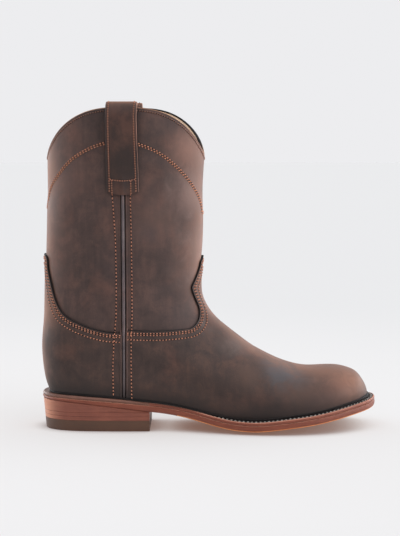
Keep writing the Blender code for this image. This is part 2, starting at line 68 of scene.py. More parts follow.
# Sizes of the upper, as in the frame
INSTEP_HEIGHT = 0.100
LEG_HEIGHT = 0.0864
COLLAR_RISE = 0.0432
COLLAR_MEDIAL_RISE = 0.0015
COLLAR_MEDIAL_LEAD = 0.0070
FOOT_WIDTH = 0.0956
LEG_WIDTH = 0.095
LASTING_DEPTH = 0.0086
OVERLAY_WALL = 0.0015
GAP = 0.0003
PIPING_WIDTH = 0.0034
PIPING_CLEARANCE = 0.0007
STRAP_WIDTH = 0.0280
STRAP_THICKNESS = 0.0024
STRAP_LENGTH = 0.0762
STRAP_END_CURVE = 0.0026
STRAP_ANCHOR = 0.0150
STRAP_BLEND = 0.040
STRAP_OVER_RIM = 0.0036
STRAP_BOX = 0.0130
STRAP_SHOULDER = 0.0085
STRAP_STANDOFF = 0.0064
STRAP_INNER_STANDOFF = 0.0030
WALL_CLEARANCE = 0.0005
STRAP_CLEAR = WALL_CLEARANCE + STRAP_THICKNESS / 2

# What the looks add to the straps
STRAP_LEAN = 0.0014  # how far the lateral strap's top leans back
STRAP_TAPER = 0.0012
STRAP_EDGE_BULGE = 0.0003
CORD_BULGE = 0.0007  # how far the seam's cord lifts the strap over it
CORD_BULGE_WIDTH = 0.0024
CORD_BULGE_FADE = 0.006
SEWN_DENT = 0.00022  # how far the rows of stitches draw the leather in
SEWN_DENT_WIDTH = 0.0007
EDGE_DROP = 0.00035  # how much thinner the leather is at its edges
EDGE_DROP_WIDTH = 0.0008

# Layers of the upper, as depths inside the form
SHAFT_DEPTH = OVERLAY_WALL + GAP
SHAFT_WALL = 0.0013
LINING_DEPTH = SHAFT_DEPTH + SHAFT_WALL + 0.0001
LINING_WALL = 0.0009
CAD_WALL = 0.0024

# Seams, threads and edges
BEAD_RADIUS = 0.00040
BEAD_HEIGHT = 0.00105
BEAD_SINK = 0.0008
STITCH_PITCH = 0.0029
SEAM_PITCH = 0.0033
COLLAR_PITCH = 0.0023
STRAP_PITCH = 0.0022
STITCH_RADIUS = 0.00045
STITCH_SHARE = 0.58
DOUBLE_ROW = 0.0016
FIRST_ROW = 0.0028
THIRD_ROW = 0.0080
COLLAR_ROW = 0.0019
COLLAR_DEPTH = 0.0006  # of the line that the lip and piping follow, in the shaft's leather
CORD_RADIUS = 0.00125
HOLE_STANDOFF = 0.00007
FEATHER_SHADE_RADIUS = 0.0012
STRAP_STITCH_RADIUS = 0.00043
STRAP_ROW = 0.0024  # from the strap's edge to its stitches
SEAM_LIP = 0.0027  # from the side seam to the middle of the lips beside its cord
LIP_WIDTH = 0.00095
LIP_HEIGHT = 0.0007
SEAM_SLANT = 6.0
SEAM_ROW_GAP = 0.0006  # from an overlay's edge to the nearest points of a seam's rows
WELT_PITCH = 0.0038
WELT_ROW = 0.0031
WELT_ROW_DROP = 0.0003
WELT_SLANT = 34.0
WELT_STITCH_SHARE = 0.66
WELT_STITCH_RADIUS = 0.00055
HEEL_LINE = 0.00006  # what shows of the gaps between the lifts
HEEL_GROOVE = 0.00012
TUCK = 0.0004  # how far the overlays reach down behind the welt's top

# Mesh fineness
RING_POINTS = 232
STRAP_COLUMNS = 24
STRAP_ROWS = 70
STRAP_ARCH_ROWS = 26
POINTS_PER_SPAN = 12  # points of a curve from one row of its table to the next
PATH_SPACING = 0.0008
EDGE_SPACING = 0.0012
COLLAR_SPACING = 0.0010
CORD_SPACING = 0.0015

BACK_X = -HEEL_LENGTH / 2
BREAST_X = HEEL_LENGTH / 2
WAIST_X = 0.075
VAMP_CROWN_X = 0.106
COUNTER_CROWN_X = -0.060
SEAM_X = BACK_X + 0.25 * OUTSOLE_LENGTH
SEAM_HALF_GAP = PIPING_WIDTH / 2 + PIPING_CLEARANCE
EDGE_THICKNESS = WELT_THICKNESS + GAP + OUTSOLE_EDGE
BALL_THICKNESS = EDGE_THICKNESS + OUTSOLE_CROWN
OVER_ALL = 0.33  # a height above the whole boot
FAR = 9.0  # a distance beyond everything here
UP = (0.0, 0.0, 1.0)

Profile = namedtuple("Profile", "along heel toe")
# Side view of the welt's top face. along: share of the outsole's length from the heel's back.
# heel, toe: shares of the heel rise and of the toe spring, above the ball.
SOLE_PROFILE = [
    Profile(0.000, 1.000, 0.000),
    Profile(0.075, 0.985, 0.000),
    Profile(0.180, 0.894, 0.000),
    Profile(0.256, 0.808, 0.000),
    Profile(0.325, 0.711, 0.000),
    Profile(0.385, 0.605, 0.000),
    Profile(0.444, 0.436, 0.000),
    Profile(0.500, 0.235, 0.000),
    Profile(0.556, 0.070, 0.000),
    Profile(0.600, 0.010, 0.000),
    Profile(0.636, 0.000, 0.000),
    Profile(0.680, 0.000, 0.060),
    Profile(0.740, 0.000, 0.190),
    Profile(0.816, 0.000, 0.370),
    Profile(0.895, 0.000, 0.640),
    Profile(0.950, 0.000, 0.835),
    Profile(1.000, 0.000, 1.000),
]

Outline = namedtuple("Outline", "along lateral medial")
# Plan of the outsole. along: share of its length. lateral, medial: shares of its width,
# measured from the line through the middle of the heel.
SOLE_OUTLINE = [
    Outline(0.010, 0.140, 0.140),
    Outline(0.040, 0.243, 0.242),
    Outline(0.095, 0.311, 0.306),
    Outline(0.174, 0.335, 0.328),
    Outline(0.256, 0.338, 0.318),
    Outline(0.338, 0.333, 0.298),
    Outline(0.420, 0.344, 0.284),
    Outline(0.485, 0.380, 0.297),
    Outline(0.551, 0.435, 0.345),
    Outline(0.616, 0.481, 0.415),
    Outline(0.682, 0.502, 0.472),
    Outline(0.741, 0.498, 0.498),
    Outline(0.800, 0.473, 0.500),
    Outline(0.852, 0.430, 0.482),
    Outline(0.905, 0.356, 0.436),
    Outline(0.951, 0.255, 0.358),
    Outline(0.984, 0.136, 0.250),
]
TOE_TIP_SIDE = 0.060  # share of the outsole's width that the tip lies on the medial side

Section = namedtuple(
    "Section",
    "front front_rise heel heel_rise leg lateral medial calf keel belly upper lower arch",
)
# Sections of the form from the toe tip to the collar. Each lies in a plane across the boot,
# through a point of the front profile and one of the bottom or back profile.
# front, heel: shares of the outsole's length. front_rise, heel_rise: shares of the instep
# height, above the welt and above the lasted bottom. leg: share of the leg height added to
# both. lateral, medial: half widths, as shares of the foot width, plus calf times the leg
# width. keel: the shift of the middle line to the medial side, as a share of the foot width.
# belly: where the section is widest. upper, lower: powers of the curves above and below it.
# arch: share of the collar's rise at the sides.
SECTIONS = [
    Section(0.9784, 0.020, 0.9784, 0.106, 0, 0.000, 0.000, 0, 0.068, 0.50, 2.00, 2.0, 0),
    Section(0.9768, 0.055, 0.9768, 0.071, 0, 0.062, 0.060, 0, 0.068, 0.50, 2.00, 2.1, 0),
    Section(0.9712, 0.110, 0.9712, 0.045, 0, 0.130, 0.125, 0, 0.067, 0.48, 2.05, 2.3, 0),
    Section(0.9607, 0.174, 0.9607, 0.029, 0, 0.208, 0.198, 0, 0.066, 0.44, 2.10, 2.6, 0),
    Section(0.9443, 0.243, 0.9443, 0.019, 0, 0.288, 0.268, 0, 0.065, 0.41, 2.20, 3.0, 0),
    Section(0.9197, 0.293, 0.9197, 0.007, 0, 0.358, 0.327, 0, 0.062, 0.38, 2.25, 3.5, 0),
    Section(0.8820, 0.338, 0.8820, 0.000, 0, 0.430, 0.385, 0, 0.057, 0.35, 2.30, 4.0, 0),
    Section(0.8295, 0.369, 0.8295, 0.000, 0, 0.494, 0.430, 0, 0.052, 0.33, 2.25, 4.4, 0),
    Section(0.7738, 0.399, 0.7738, 0.000, 0, 0.532, 0.451, 0, 0.050, 0.33, 2.15, 4.5, 0),
    Section(0.7148, 0.476, 0.7148, 0.000, 0, 0.551, 0.445, 0, 0.047, 0.33, 2.05, 4.5, 0),
    Section(0.6557, 0.578, 0.6426, 0.000, 0, 0.538, 0.400, 0, 0.044, 0.34, 1.95, 4.5, 0),
    Section(0.5934, 0.701, 0.5443, 0.000, 0, 0.498, 0.357, 0, 0.040, 0.36, 1.88, 4.6, 0),
    Section(0.5387, 0.816, 0.4328, 0.000, 0, 0.448, 0.345, 0, 0.031, 0.38, 1.85, 4.8, 0),
    Section(0.5033, 0.902, 0.3115, 0.000, 0, 0.422, 0.361, 0, 0.021, 0.41, 1.88, 5.0, 0),
    Section(0.4830, 1.002, 0.1836, 0.000, 0, 0.402, 0.372, 0, 0.010, 0.45, 1.92, 5.0, 0),
    Section(0.4780, 1.096, 0.0787, 0.005, 0, 0.392, 0.382, 0, 0.005, 0.49, 1.96, 4.4, 0),
    Section(0.4790, 1.184, 0.0200, 0.121, 0, 0.389, 0.389, 0, 0.000, 0.50, 2.00, 3.5, 0),
    Section(0.4810, 1.276, -0.0003, 0.448, 0, 0.395, 0.395, 0, 0.000, 0.50, 2.02, 2.9, 0),
    Section(0.4835, 1.392, 0.0043, 0.774, 0, 0.404, 0.404, 0, 0.000, 0.50, 2.05, 2.5, 0),
    Section(0.4875, 1.422, 0.0062, 0.919, 0.19, 0.210, 0.210, 0.215, 0.000, 0.50, 2.08, 2.3, 0.02),
    Section(0.4862, 1.422, 0.0085, 1.071, 0.51, 0.105, 0.105, 0.355, 0.000, 0.50, 2.10, 2.2, 0.22),
    Section(0.4882, 1.422, 0.0112, 1.211, 0.78, 0.030, 0.030, 0.458, 0.000, 0.50, 2.10, 2.1, 0.62),
    Section(0.4925, 1.427, 0.0131, 1.353, 1.00, 0.000, 0.000, 0.500, 0.000, 0.50, 2.10, 2.1, 1.00),
]
# How the collar's edge rises from its dips at the front and back to the sides
ARCH_FRONT_POWER = 2.75
ARCH_BACK_POWER = 2.85
ARCH_SHAPE = 0.75

Edge = namedtuple("Edge", "along rise")
# Side view of the vamp's upper edge, from the side seam to the notch, then up the tongue.
# along: share of the outsole's length. rise: share of the instep height, above the welt.
VAMP_EDGE = [
    Edge(0.262, 0.628),
    Edge(0.312, 0.638),
    Edge(0.371, 0.659),
    Edge(0.430, 0.704),
    Edge(0.4535, 0.738),
    Edge(0.4675, 0.794),
    Edge(0.4734, 0.862),
    Edge(0.4700, 0.932),
    Edge(0.4575, 1.015),
    Edge(0.4500, 1.087),
]
TONGUE_EDGE = [
    Edge(0.4500, 1.087),
    Edge(0.4640, 1.190),
    Edge(0.4741, 1.285),
    Edge(0.4786, 1.345),
    Edge(0.4920, 1.400),
]
# Side view of the counter's upper edge, from the side seam to the back
COUNTER_EDGE = [
    Edge(0.238, 0.599),
    Edge(0.194, 0.600),
    Edge(0.135, 0.637),
    Edge(0.086, 0.697),
    Edge(0.060, 0.764),
    Edge(0.041, 0.883),
    Edge(0.029, 1.018),
    Edge(0.021, 1.126),
    Edge(0.018, 1.215),
    Edge(0.006, 1.250),
    Edge(-0.016, 1.262),
]

# Points (x, z) of the sewn arch across the shaft's sides, from the back to the front
ARCH_ROW = [
    (-0.0440, 0.2010),
    (-0.0397, 0.2180),
    (-0.0337, 0.2280),
    (-0.0251, 0.2384),
    (-0.0155, 0.2468),
    (-0.0024, 0.2540),
    (0.0104, 0.2584),
    (0.0270, 0.2602),
    (0.0447, 0.2562),
    (0.0597, 0.2492),
    (0.0738, 0.2378),
    (0.0861, 0.2237),
    (0.0941, 0.2087),
    (0.0965, 0.1960),
]

SeamRow = namedtuple("SeamRow", "height back front")
# Rows of stitches beside the side seam: how far they lie behind and in front of it
SEAM_ROWS = [
    SeamRow(0.2290, 0.0094, 0.0072),
    SeamRow(0.2130, 0.0094, 0.0066),
    SeamRow(0.1950, 0.0082, 0.0068),
    SeamRow(0.1720, 0.0068, 0.0072),
    SeamRow(0.1370, 0.0064, 0.0074),
    SeamRow(0.1050, 0.0068, 0.0074),
    SeamRow(0.0850, 0.0086, 0.0066),
    SeamRow(0.0600, 0.0098, 0.0065),
    SeamRow(0.0330, 0.0096, 0.0070),
]

Fold = namedtuple("Fold", "height width path")
# Soft waves of the leather in side view. height: how far a wave stands out, or sinks in where
# it is negative. width: its half width. path: points (x, z) along it.
FOLDS = [
    Fold(-0.0007, 0.0060, [(0.030, 0.168), (0.046, 0.181), (0.064, 0.187), (0.082, 0.184)]),
    Fold(0.0006, 0.0070, [(0.040, 0.150), (0.060, 0.160), (0.080, 0.166), (0.094, 0.168)]),
    Fold(-0.0006, 0.0055, [(0.050, 0.128), (0.070, 0.134), (0.084, 0.142), (0.094, 0.150)]),
    Fold(-0.0006, 0.0060, [(-0.040, 0.170), (-0.026, 0.163), (-0.008, 0.161), (0.010, 0.164)]),
    Fold(0.0005, 0.0080, [(-0.038, 0.196), (-0.020, 0.186), (0.000, 0.184), (0.016, 0.190)]),
    Fold(-0.0005, 0.0070, [(-0.034, 0.130), (-0.016, 0.124), (0.002, 0.126)]),
    Fold(0.0005, 0.0060, [(0.072, 0.200), (0.080, 0.216), (0.088, 0.232)]),
    Fold(-0.0005, 0.0055, [(0.066, 0.208), (0.072, 0.222), (0.076, 0.240)]),
    Fold(-0.0006, 0.0050, [(0.104, 0.088), (0.116, 0.078), (0.130, 0.066)]),
    Fold(0.0005, 0.0060, [(0.112, 0.094), (0.124, 0.082), (0.140, 0.070)]),
    Fold(-0.0005, 0.0060, [(0.136, 0.064), (0.146, 0.050), (0.150, 0.034)]),
    Fold(-0.0005, 0.0055, [(0.158, 0.060), (0.168, 0.046), (0.170, 0.030)]),
    Fold(0.0004, 0.0060, [(0.148, 0.062), (0.157, 0.048), (0.160, 0.032)]),
    Fold(-0.0004, 0.0070, [(0.030, 0.060), (0.052, 0.054), (0.076, 0.056)]),
    Fold(0.0004, 0.0070, [(0.080, 0.072), (0.092, 0.060), (0.110, 0.050)]),
    Fold(-0.0004, 0.0080, [(-0.030, 0.070), (-0.014, 0.060), (0.004, 0.056)]),
]
WAVE_HEIGHT = 0.00022

# The photograph's camera
CAMERA_PLACE = (0.10378, -1.400, 0.2527)
CAMERA_PITCH = math.radians(4.396)
CAMERA_YAW = math.radians(0.373)
CAMERA_LENS = 103.1
CAMERA_SENSOR = 36.0

# The floor. Part of its light is its own and warm, so that shadows stay soft and warm. Its glow
# holds a painted contact shadow close to the boot and a painted pool of light around it.
FLOOR_REACH = 30.0
FLOOR_DROP = -0.00005
PAINTED_LIGHT_POOL = 1.16
LIGHT_POOL_REACH = (0.15, 1.2)  # distances from the boot between which the painted pool of light falls to a glow of 1
# Painted contact shadow: the floor's glow where the boot lies close by, and how close
PAINTED_CONTACT_SHADOW = (0.15, 0.085, 0.065)
CONTACT_SHADOW_REACH = 0.019
FLOOR_GLOW = (0.42, 0.375, 0.355)
FLOOR_COLOUR = (0.281, 0.314, 0.331)

# The studio's light from behind the camera and from behind the boot
STUDIO_FRONT = 0.08
STUDIO_BACK = 0.846
STUDIO_COLOUR = (1.0, 1.0, 1.02)

Panel = namedtuple("Panel", "direction edge core low high strength")
# Soft light panels. edge, core: cosines of the angles where a panel starts and is full.
# low, high: heights in the sky between which it fades out.
PANELS = [
    Panel((0.98, 0.02, 0.14), 0.30, 0.85, 0.20, 0.55, 4.0),
    Panel((-0.88, 0.42, 0.12), 0.62, 0.90, 0.20, 0.55, 3.8),
    Panel((0.12, -0.42, 0.90), 0.50, 0.90, 1.20, 1.30, 1.3),
]


# Curves through the tables


def spline(values, closed=False):
    """A smooth curve through values at 0, 1, 2 and so on, as a function of positions."""
    values = np.asarray(values, float)
    count = len(values)
    system = 4.0 * np.eye(count)
    bends = np.zeros(count)
    for i in range(count):
        before, after = (i - 1) % count, (i + 1) % count
        if not closed and i in (0, count - 1):
            system[i, i] = 1.0
            continue
        system[i, before] += 1.0
        system[i, after] += 1.0
        bends[i] = 6.0 * (values[before] - 2.0 * values[i] + values[after])
    bends = np.linalg.solve(system, bends)
    spans = count if closed else count - 1

    def at(position):
        position = np.asarray(position, float)
        position = position % count if closed else np.clip(position, 0.0, spans)
        i = np.minimum(position.astype(int), spans - 1)
        j = (i + 1) % count
        t = position - i
        straight = values[i] * (1 - t) + values[j] * t
        return straight + (bends[i] * ((1 - t) ** 3 - (1 - t)) + bends[j] * (t**3 - t)) / 6.0

    return at


def curves_of(rows):
    """One spline for each column of a table."""
    return [spline(column) for column in zip(*rows)]


def span_positions(rows):
    """Evenly spaced positions along a table's splines."""
    spans = len(rows) - 1
    return np.linspace(0.0, float(spans), spans * POINTS_PER_SPAN + 1)


def x_of(share):
    return BACK_X + share * OUTSOLE_LENGTH


def unit(vectors):
    return vectors / np.maximum(np.linalg.norm(vectors, axis=-1, keepdims=True), 1e-12)


def smooth_step(value, start, end):
    """0 at start and 1 at end, with a smooth change between them."""
    t = np.clip((value - start) / (end - start), 0.0, 1.0)
    return t * t * (3 - 2 * t)


SECTION_CURVES = curves_of(SECTIONS)
PROFILE_ALONG, PROFILE_HEEL, PROFILE_TOE = curves_of(SOLE_PROFILE)
PROFILE_POSITIONS = np.linspace(0.0, len(SOLE_PROFILE) - 1.0, 1601)
PROFILE_X = x_of(PROFILE_ALONG(PROFILE_POSITIONS))
PROFILE_Z = (
    BALL_THICKNESS
    - FLAT_DEPTH
    + PROFILE_HEEL(PROFILE_POSITIONS) * HEEL_RISE
    + PROFILE_TOE(PROFILE_POSITIONS) * TOE_SPRING
)


def sole_top(x):
    """Height of the welt's top face, on which the upper stands."""
    return np.interp(x, PROFILE_X, PROFILE_Z)


def outsole_top(x):
    return sole_top(x) - WELT_THICKNESS - GAP


def outsole_edge(x):
    """Height of the outsole's lower edge at its sides. It thins towards the heel's back."""
    thinning = SEAT_THINNING * smooth_step(-np.asarray(x), -BREAST_X, -BACK_X)
    return sole_top(x) - EDGE_THICKNESS + thinning


def outsole_tread(x):
    """Height of the middle of the outsole's underside, flat on the floor at the ball."""
    x = np.asarray(x)
    crown = smooth_step(x, BREAST_X, x_of(0.53)) * smooth_step(-x, -x_of(0.98), -x_of(0.78))
    return np.maximum(outsole_edge(x) - crown * OUTSOLE_CROWN, 0.0)


# The form of the upper and the skin of its leather


def form(positions, angles):
    """Points on the outside of the upper. positions count the rows of SECTIONS, and angles go
    from the front, round the lateral side and the bottom or back, to the medial side."""
    row = Section(*(curve(positions)[:, None] for curve in SECTION_CURVES))
    front_x, heel_x = x_of(row.front), x_of(row.heel)
    leg = row.leg * LEG_HEIGHT
    front_z = sole_top(front_x) + row.front_rise * INSTEP_HEIGHT + leg
    heel_z = sole_top(heel_x) - LASTING_DEPTH + row.heel_rise * INSTEP_HEIGHT + leg
    cosine, sine = np.cos(angles)[None, :], np.sin(angles)[None, :]
    above = cosine >= 0
    power = np.where(above, row.upper, row.lower)
    bulge = np.abs(cosine) ** (2 / power)
    share = np.where(above, row.belly + (1 - row.belly) * bulge, row.belly * (1 - bulge))
    side = np.where(sine >= 0, row.lateral, row.medial)
    half = np.maximum(side * FOOT_WIDTH + row.calf * LEG_WIDTH, 0.0)
    x = heel_x + share * (front_x - heel_x)
    y = row.keel * FOOT_WIDTH - np.sign(sine) * half * np.abs(sine) ** (2 / power)
    z = heel_z + share * (front_z - heel_z)
    middle = (x_of(SECTIONS[-1].front) + x_of(SECTIONS[-1].heel)) / 2
    reach = (x_of(SECTIONS[-1].front) - x_of(SECTIONS[-1].heel)) / 2
    medial = np.maximum(-sine, 0.0)
    off = np.minimum(np.abs(x - COLLAR_MEDIAL_LEAD * medial - middle) / reach, 1.0)
    arch_power = np.where(x > middle, ARCH_FRONT_POWER, ARCH_BACK_POWER)
    rise = COLLAR_RISE + COLLAR_MEDIAL_RISE * medial
    z = z + np.maximum(row.arch, 0.0) * rise * (1 - off**arch_power) ** ARCH_SHAPE
    return np.stack([x, y, z], axis=-1)


def grid_normals(points):
    """Outward normals of a grid whose rows run towards the collar and columns around."""
    along = np.gradient(points, axis=0)
    around = np.roll(points, -1, axis=1) - np.roll(points, 1, axis=1)
    normals = np.cross(along, around)
    normals[0] = normals[1].mean(axis=0)
    return unit(normals)


def to_segment(x, z, start, end):
    """Distances in side view from points to a segment, and how far along it they lie."""
    (x0, z0), (x1, z1) = start, end
    square = max((x1 - x0) ** 2 + (z1 - z0) ** 2, 1e-18)
    share = np.clip(((x - x0) * (x1 - x0) + (z - z0) * (z1 - z0)) / square, 0.0, 1.0)
    return np.hypot(x - x0 - share * (x1 - x0), z - z0 - share * (z1 - z0)), share


def distance_to_path(x, z, path):
    """Distances in side view from points to a path, and how near they lie to its middle."""
    path = np.asarray(path, float)
    lengths = np.hypot(*np.diff(path, axis=0).T)
    total, passed = lengths.sum(), 0.0
    nearest, along = np.full(x.shape, FAR), np.zeros(x.shape)
    for start, end, length in zip(path, path[1:], lengths):
        distance, share = to_segment(x, z, start, end)
        along = np.where(distance < nearest, (passed + share * length) / total, along)
        nearest = np.minimum(distance, nearest)
        passed += length
    return nearest, np.sin(np.pi * np.clip(along, 0.0, 1.0))


def fold_field(points):
    """How far the leather stands out of the form or sinks into it."""
    x, y, z = points[..., 0], points[..., 1], points[..., 2]
    field = np.zeros(x.shape)
    for fold in FOLDS:
        distance, middle = distance_to_path(x, z, fold.path)
        field += fold.height * np.exp(-((distance / fold.width) ** 2)) * middle**0.7
    # Long flat waves all over, with lengths of a few centimetres
    waves = np.sin(x * 71 + y * 23 + 1.3) * np.sin(z * 67 + y * 31 + 0.4)
    waves += np.sin(x * 129 + z * 37 + y * 50) * np.sin(z * 118 - x * 41 + 2.1)
    fade = smooth_step(z, 0.03, 0.06) * smooth_step(-z, -0.29, -0.26)
    return field + WAVE_HEIGHT * waves * fade


POSITIONS = span_positions(SECTIONS)
ANGLES = np.linspace(0.0, math.tau, RING_POINTS, endpoint=False)
SMOOTH_FORM = form(POSITIONS, ANGLES)
SKIN = SMOOTH_FORM + grid_normals(SMOOTH_FORM) * fold_field(SMOOTH_FORM)[..., None]
SKIN_NORMALS = grid_normals(SKIN)


def skin_at(depth):
    return SKIN - SKIN_NORMALS * depth


def grid_quads(rows, columns):
    """Corners of the quads of a grid that closes around, as indices into its points."""
    row, column = np.meshgrid(np.arange(rows - 1), np.arange(columns), indexing="ij")
    after = (column + 1) % columns
    corners = (row * columns + column, (row + 1) * columns + column)
    corners += ((row + 1) * columns + after, row * columns + after)
    return np.stack([c.ravel() for c in corners], axis=-1)


def tree_of(points):
    """A search tree of a grid's surface."""
    quads = grid_quads(*points.shape[:2])
    return BVHTree.FromPolygons(points.reshape(-1, 3).tolist(), quads.tolist())


SKIN_TREE = tree_of(SKIN)
SHAFT_TREE = tree_of(skin_at(SHAFT_DEPTH))
INSIDE_TREE = tree_of(skin_at(SHAFT_DEPTH + CAD_WALL))
# The surface, standoff and outward sign of a strap's outer and inner leg
STRAP_LEGS = ((SHAFT_TREE, STRAP_STANDOFF, 1), (INSIDE_TREE, STRAP_INNER_STANDOFF, -1))


# Making pieces


def finish_piece(name, work, materials, nodes=(), sharp=40.0):
    """Links a bmesh as a piece of the boot that rides on the body and stands for nodes."""
    mesh = bpy.data.meshes.new(name)
    work.to_mesh(mesh)
    work.free()
    for material in materials:
        mesh.materials.append(material)
    mesh.shade_smooth()
    if sharp:
        mesh.set_sharp_from_angle(angle=math.radians(sharp))
    piece = bpy.data.objects.new(name, mesh)
    bpy.context.scene.collection.objects.link(piece)
    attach(piece, "root")
    if nodes:
        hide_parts(*nodes)


def loft(rings, looks, closed=False, caps=(None, None)):
    """A bmesh through rings of corners. looks: the material number behind each corner of a
    ring. caps: those of the faces across its two ends, or None for an end without one."""
    count, corners = rings.shape[:2]
    work = bmesh.new()
    verts = [work.verts.new(point) for point in rings.reshape(-1, 3).tolist()]
    for k in range(count if closed else count - 1):
        low, high = k * corners, (k + 1) % count * corners
        for j in range(corners):
            after = (j + 1) % corners
            quad = (low + j, low + after, high + after, high + j)
            work.faces.new([verts[i] for i in quad]).material_index = looks[j]
    for end, look in zip((verts[:corners][::-1], verts[-corners:]), caps):
        if look is not None:
            work.faces.new(end).material_index = look
    bmesh.ops.remove_doubles(work, verts=work.verts, dist=0.00001)
    bmesh.ops.recalc_face_normals(work, faces=work.faces)
    return work


def inside_outline(outline, x, z):
    """The signed distances from points to a closed side view outline, positive inside."""
    outline = np.asarray(outline, float)
    nearest = np.full(x.shape, FAR)
    within = np.zeros(x.shape, bool)
    for start, end in zip(outline, np.roll(outline, -1, axis=0)):
        nearest = np.minimum(nearest, to_segment(x, z, start, end)[0])
        (x0, z0), (x1, z1) = start, end
        crossing = x0 + (z - z0) / ((z1 - z0) or 1.0) * (x1 - x0)
        within ^= ((z0 > z) != (z1 > z)) & (x < crossing)
    return np.where(within, nearest, -nearest)


def cut_skin(depth, outline, every=1):
    """The part of the skin at a depth that lies inside a side view outline, as a bmesh. every:
    how many rows and columns of the skin go into one of its own."""
    points = skin_at(depth)[::every, ::every]
    rows, columns = points.shape[:2]
    points = points.reshape(-1, 3)
    values = inside_outline(outline, points[:, 0], points[:, 2])
    values = np.where(np.abs(values) < 0.00004, 0.00004, values)
    quads = grid_quads(rows, columns)
    quads = quads[(values[quads] > 0).any(axis=1)]
    used, quads = np.unique(quads, return_inverse=True)
    quads = quads.reshape(-1, 4)
    work = bmesh.new()
    verts = [work.verts.new(point) for point in points[used].tolist()]
    value = dict(zip(verts, values[used].tolist()))
    for quad in quads.tolist():
        work.faces.new([verts[i] for i in quad])
    added = set()
    for edge in list(work.edges):
        first, second = edge.verts
        if (value[first] > 0) == (value[second] > 0):
            continue
        share = value[first] / (value[first] - value[second])
        vert = bmesh.utils.edge_split(edge, first, share)[1]
        value[vert] = 0.0
        added.add(vert)
    for face in list(work.faces):
        ends = [vert for vert in face.verts if vert in added]
        if len(ends) == 2:
            bmesh.utils.face_split(face, *ends)
    outside = [face for face in work.faces if min(value[vert] for vert in face.verts) < 0]
    bmesh.ops.delete(work, geom=outside, context="FACES")
    bmesh.ops.remove_doubles(work, verts=work.verts, dist=0.00002)
    return work


def add_wall(work, thickness):
    """Turns an open surface into a closed wall, with its other side inwards."""
    work.normal_update()
    outer, faces = list(work.verts), list(work.faces)
    rim = [edge for edge in work.edges if edge.is_boundary]
    inner = {vert: work.verts.new(vert.co - vert.normal * thickness) for vert in outer}
    for face in faces:
        work.faces.new([inner[vert] for vert in reversed(face.verts)])
    for edge in rim:
        loop = edge.link_loops[0]
        first, second = loop.vert, loop.link_loop_next.vert
        work.faces.new((second, first, inner[first], inner[second]))


def skin_piece(name, depth, outline, wall, material, nodes=(), slot=None, every=1):
    """A piece of the skin inside a side view outline, with a wall inwards."""
    work = cut_skin(depth, outline, every)
    add_wall(work, wall)
    finish_piece(name, work, (material,), nodes)


def sweep(places, across, out, section, closed=False, looks=None):
    """A bar along places. across and out are its section's axes at each place, and section
    lists its corners as (across, out), one list for all or one for each place."""
    places, across, out = (np.asarray(a, float) for a in (places, across, out))
    section = np.asarray(section, float)
    if section.ndim == 2:
        section = np.broadcast_to(section, (len(places),) + section.shape)
    rings = places[:, None] + section[..., :1] * across[:, None] + section[..., 1:] * out[:, None]
    looks = looks or [0] * section.shape[1]
    return loft(rings, looks, closed, (None, None) if closed else (looks[0], looks[0]))


def ellipse(width, height, corners=10, shift=0.0):
    """Corners of an ellipse with these half sizes."""
    return [(width * cosine, shift + height * sine) for cosine, sine in ring_of(corners)]


def rounded_ends(section, count):
    """A section for each place of a bar, shrunk at both ends so that they are round."""
    scales = np.ones(count)
    rows = 2
    for k in range(rows):
        scales[k] = scales[-1 - k] = math.sin(math.pi / 2 * (k + 0.35) / rows)
    return np.asarray(section)[None] * scales[:, None, None]


def joined(works):
    """Several bmeshes as one."""
    whole = bmesh.new()
    for work in works:
        mesh = bpy.data.meshes.new("joined")
        work.to_mesh(mesh)
        work.free()
        whole.from_mesh(mesh)
        bpy.data.meshes.remove(mesh)
    return whole


# Paths on the skin


def resample(points, spacing, closed=False, count=None):
    """Evenly spaced points along a path, count steps or about spacing apart."""
    points = np.asarray(points, float)
    if closed:
        points = np.vstack([points, points[:1]])
    steps = np.linalg.norm(np.diff(points, axis=0), axis=1)
    passed = np.concatenate([[0.0], np.cumsum(steps)])
    count = count or max(int(round(passed[-1] / spacing)), 2)
    at = np.linspace(0.0, passed[-1], count + 1)
    if closed:
        at = at[:-1]
    return np.stack([np.interp(at, passed, points[:, k]) for k in range(3)], axis=-1)


def settle(points, tree):
    """The nearest points on a surface, and its normals there."""
    found = [tree.find_nearest(Vector(point)) for point in points]
    places = np.array([list(hit[0]) for hit in found])
    normals = np.array([list(hit[1]) for hit in found])
    return places, normals


def smooth_normals(normals, closed=False):
    for _ in range(4):
        padded = np.pad(normals, ((1, 1), (0, 0)), mode="wrap" if closed else "edge")
        normals = unit(padded[:-2] + 2 * normals + padded[2:])
    return normals


def tangents_of(points, closed=False):
    if closed:
        return unit(np.roll(points, -1, axis=0) - np.roll(points, 1, axis=0))
    return unit(np.gradient(points, axis=0))


def side_point(tree, x, z, side):
    """The place on the lateral (-1) or medial (1) face of a surface at x and z, or None."""
    start = Vector((x, side * (FOOT_WIDTH + LEG_WIDTH), z))
    hit = tree.ray_cast(start, Vector((0.0, -side, 0.0)))[0]
    return None if hit is None or hit.y * side < -0.004 else np.array(hit)


def side_path(tree, outline, side):
    """A path on one side of a surface, through points (x, z) in side view."""
    flat = [(x, 0.0, z) for x, z in outline]
    found = [side_point(tree, x, z, side) for x, _, z in resample(flat, PATH_SPACING)]
    return np.array([place for place in found if place is not None])


def curve_points(outline):
    """A smooth curve through side view points."""
    xs, zs = curves_of(outline)
    at = span_positions(outline)
    return list(zip(xs(at).tolist(), zs(at).tolist()))


def edge_points(rows):
    """Points (x, z) along an overlay's edge in side view."""
    alongs, rises = curves_of(rows)
    at = span_positions(rows)
    x = x_of(alongs(at))
    return list(zip(x.tolist(), (sole_top(x) + rises(at) * INSTEP_HEIGHT).tolist()))


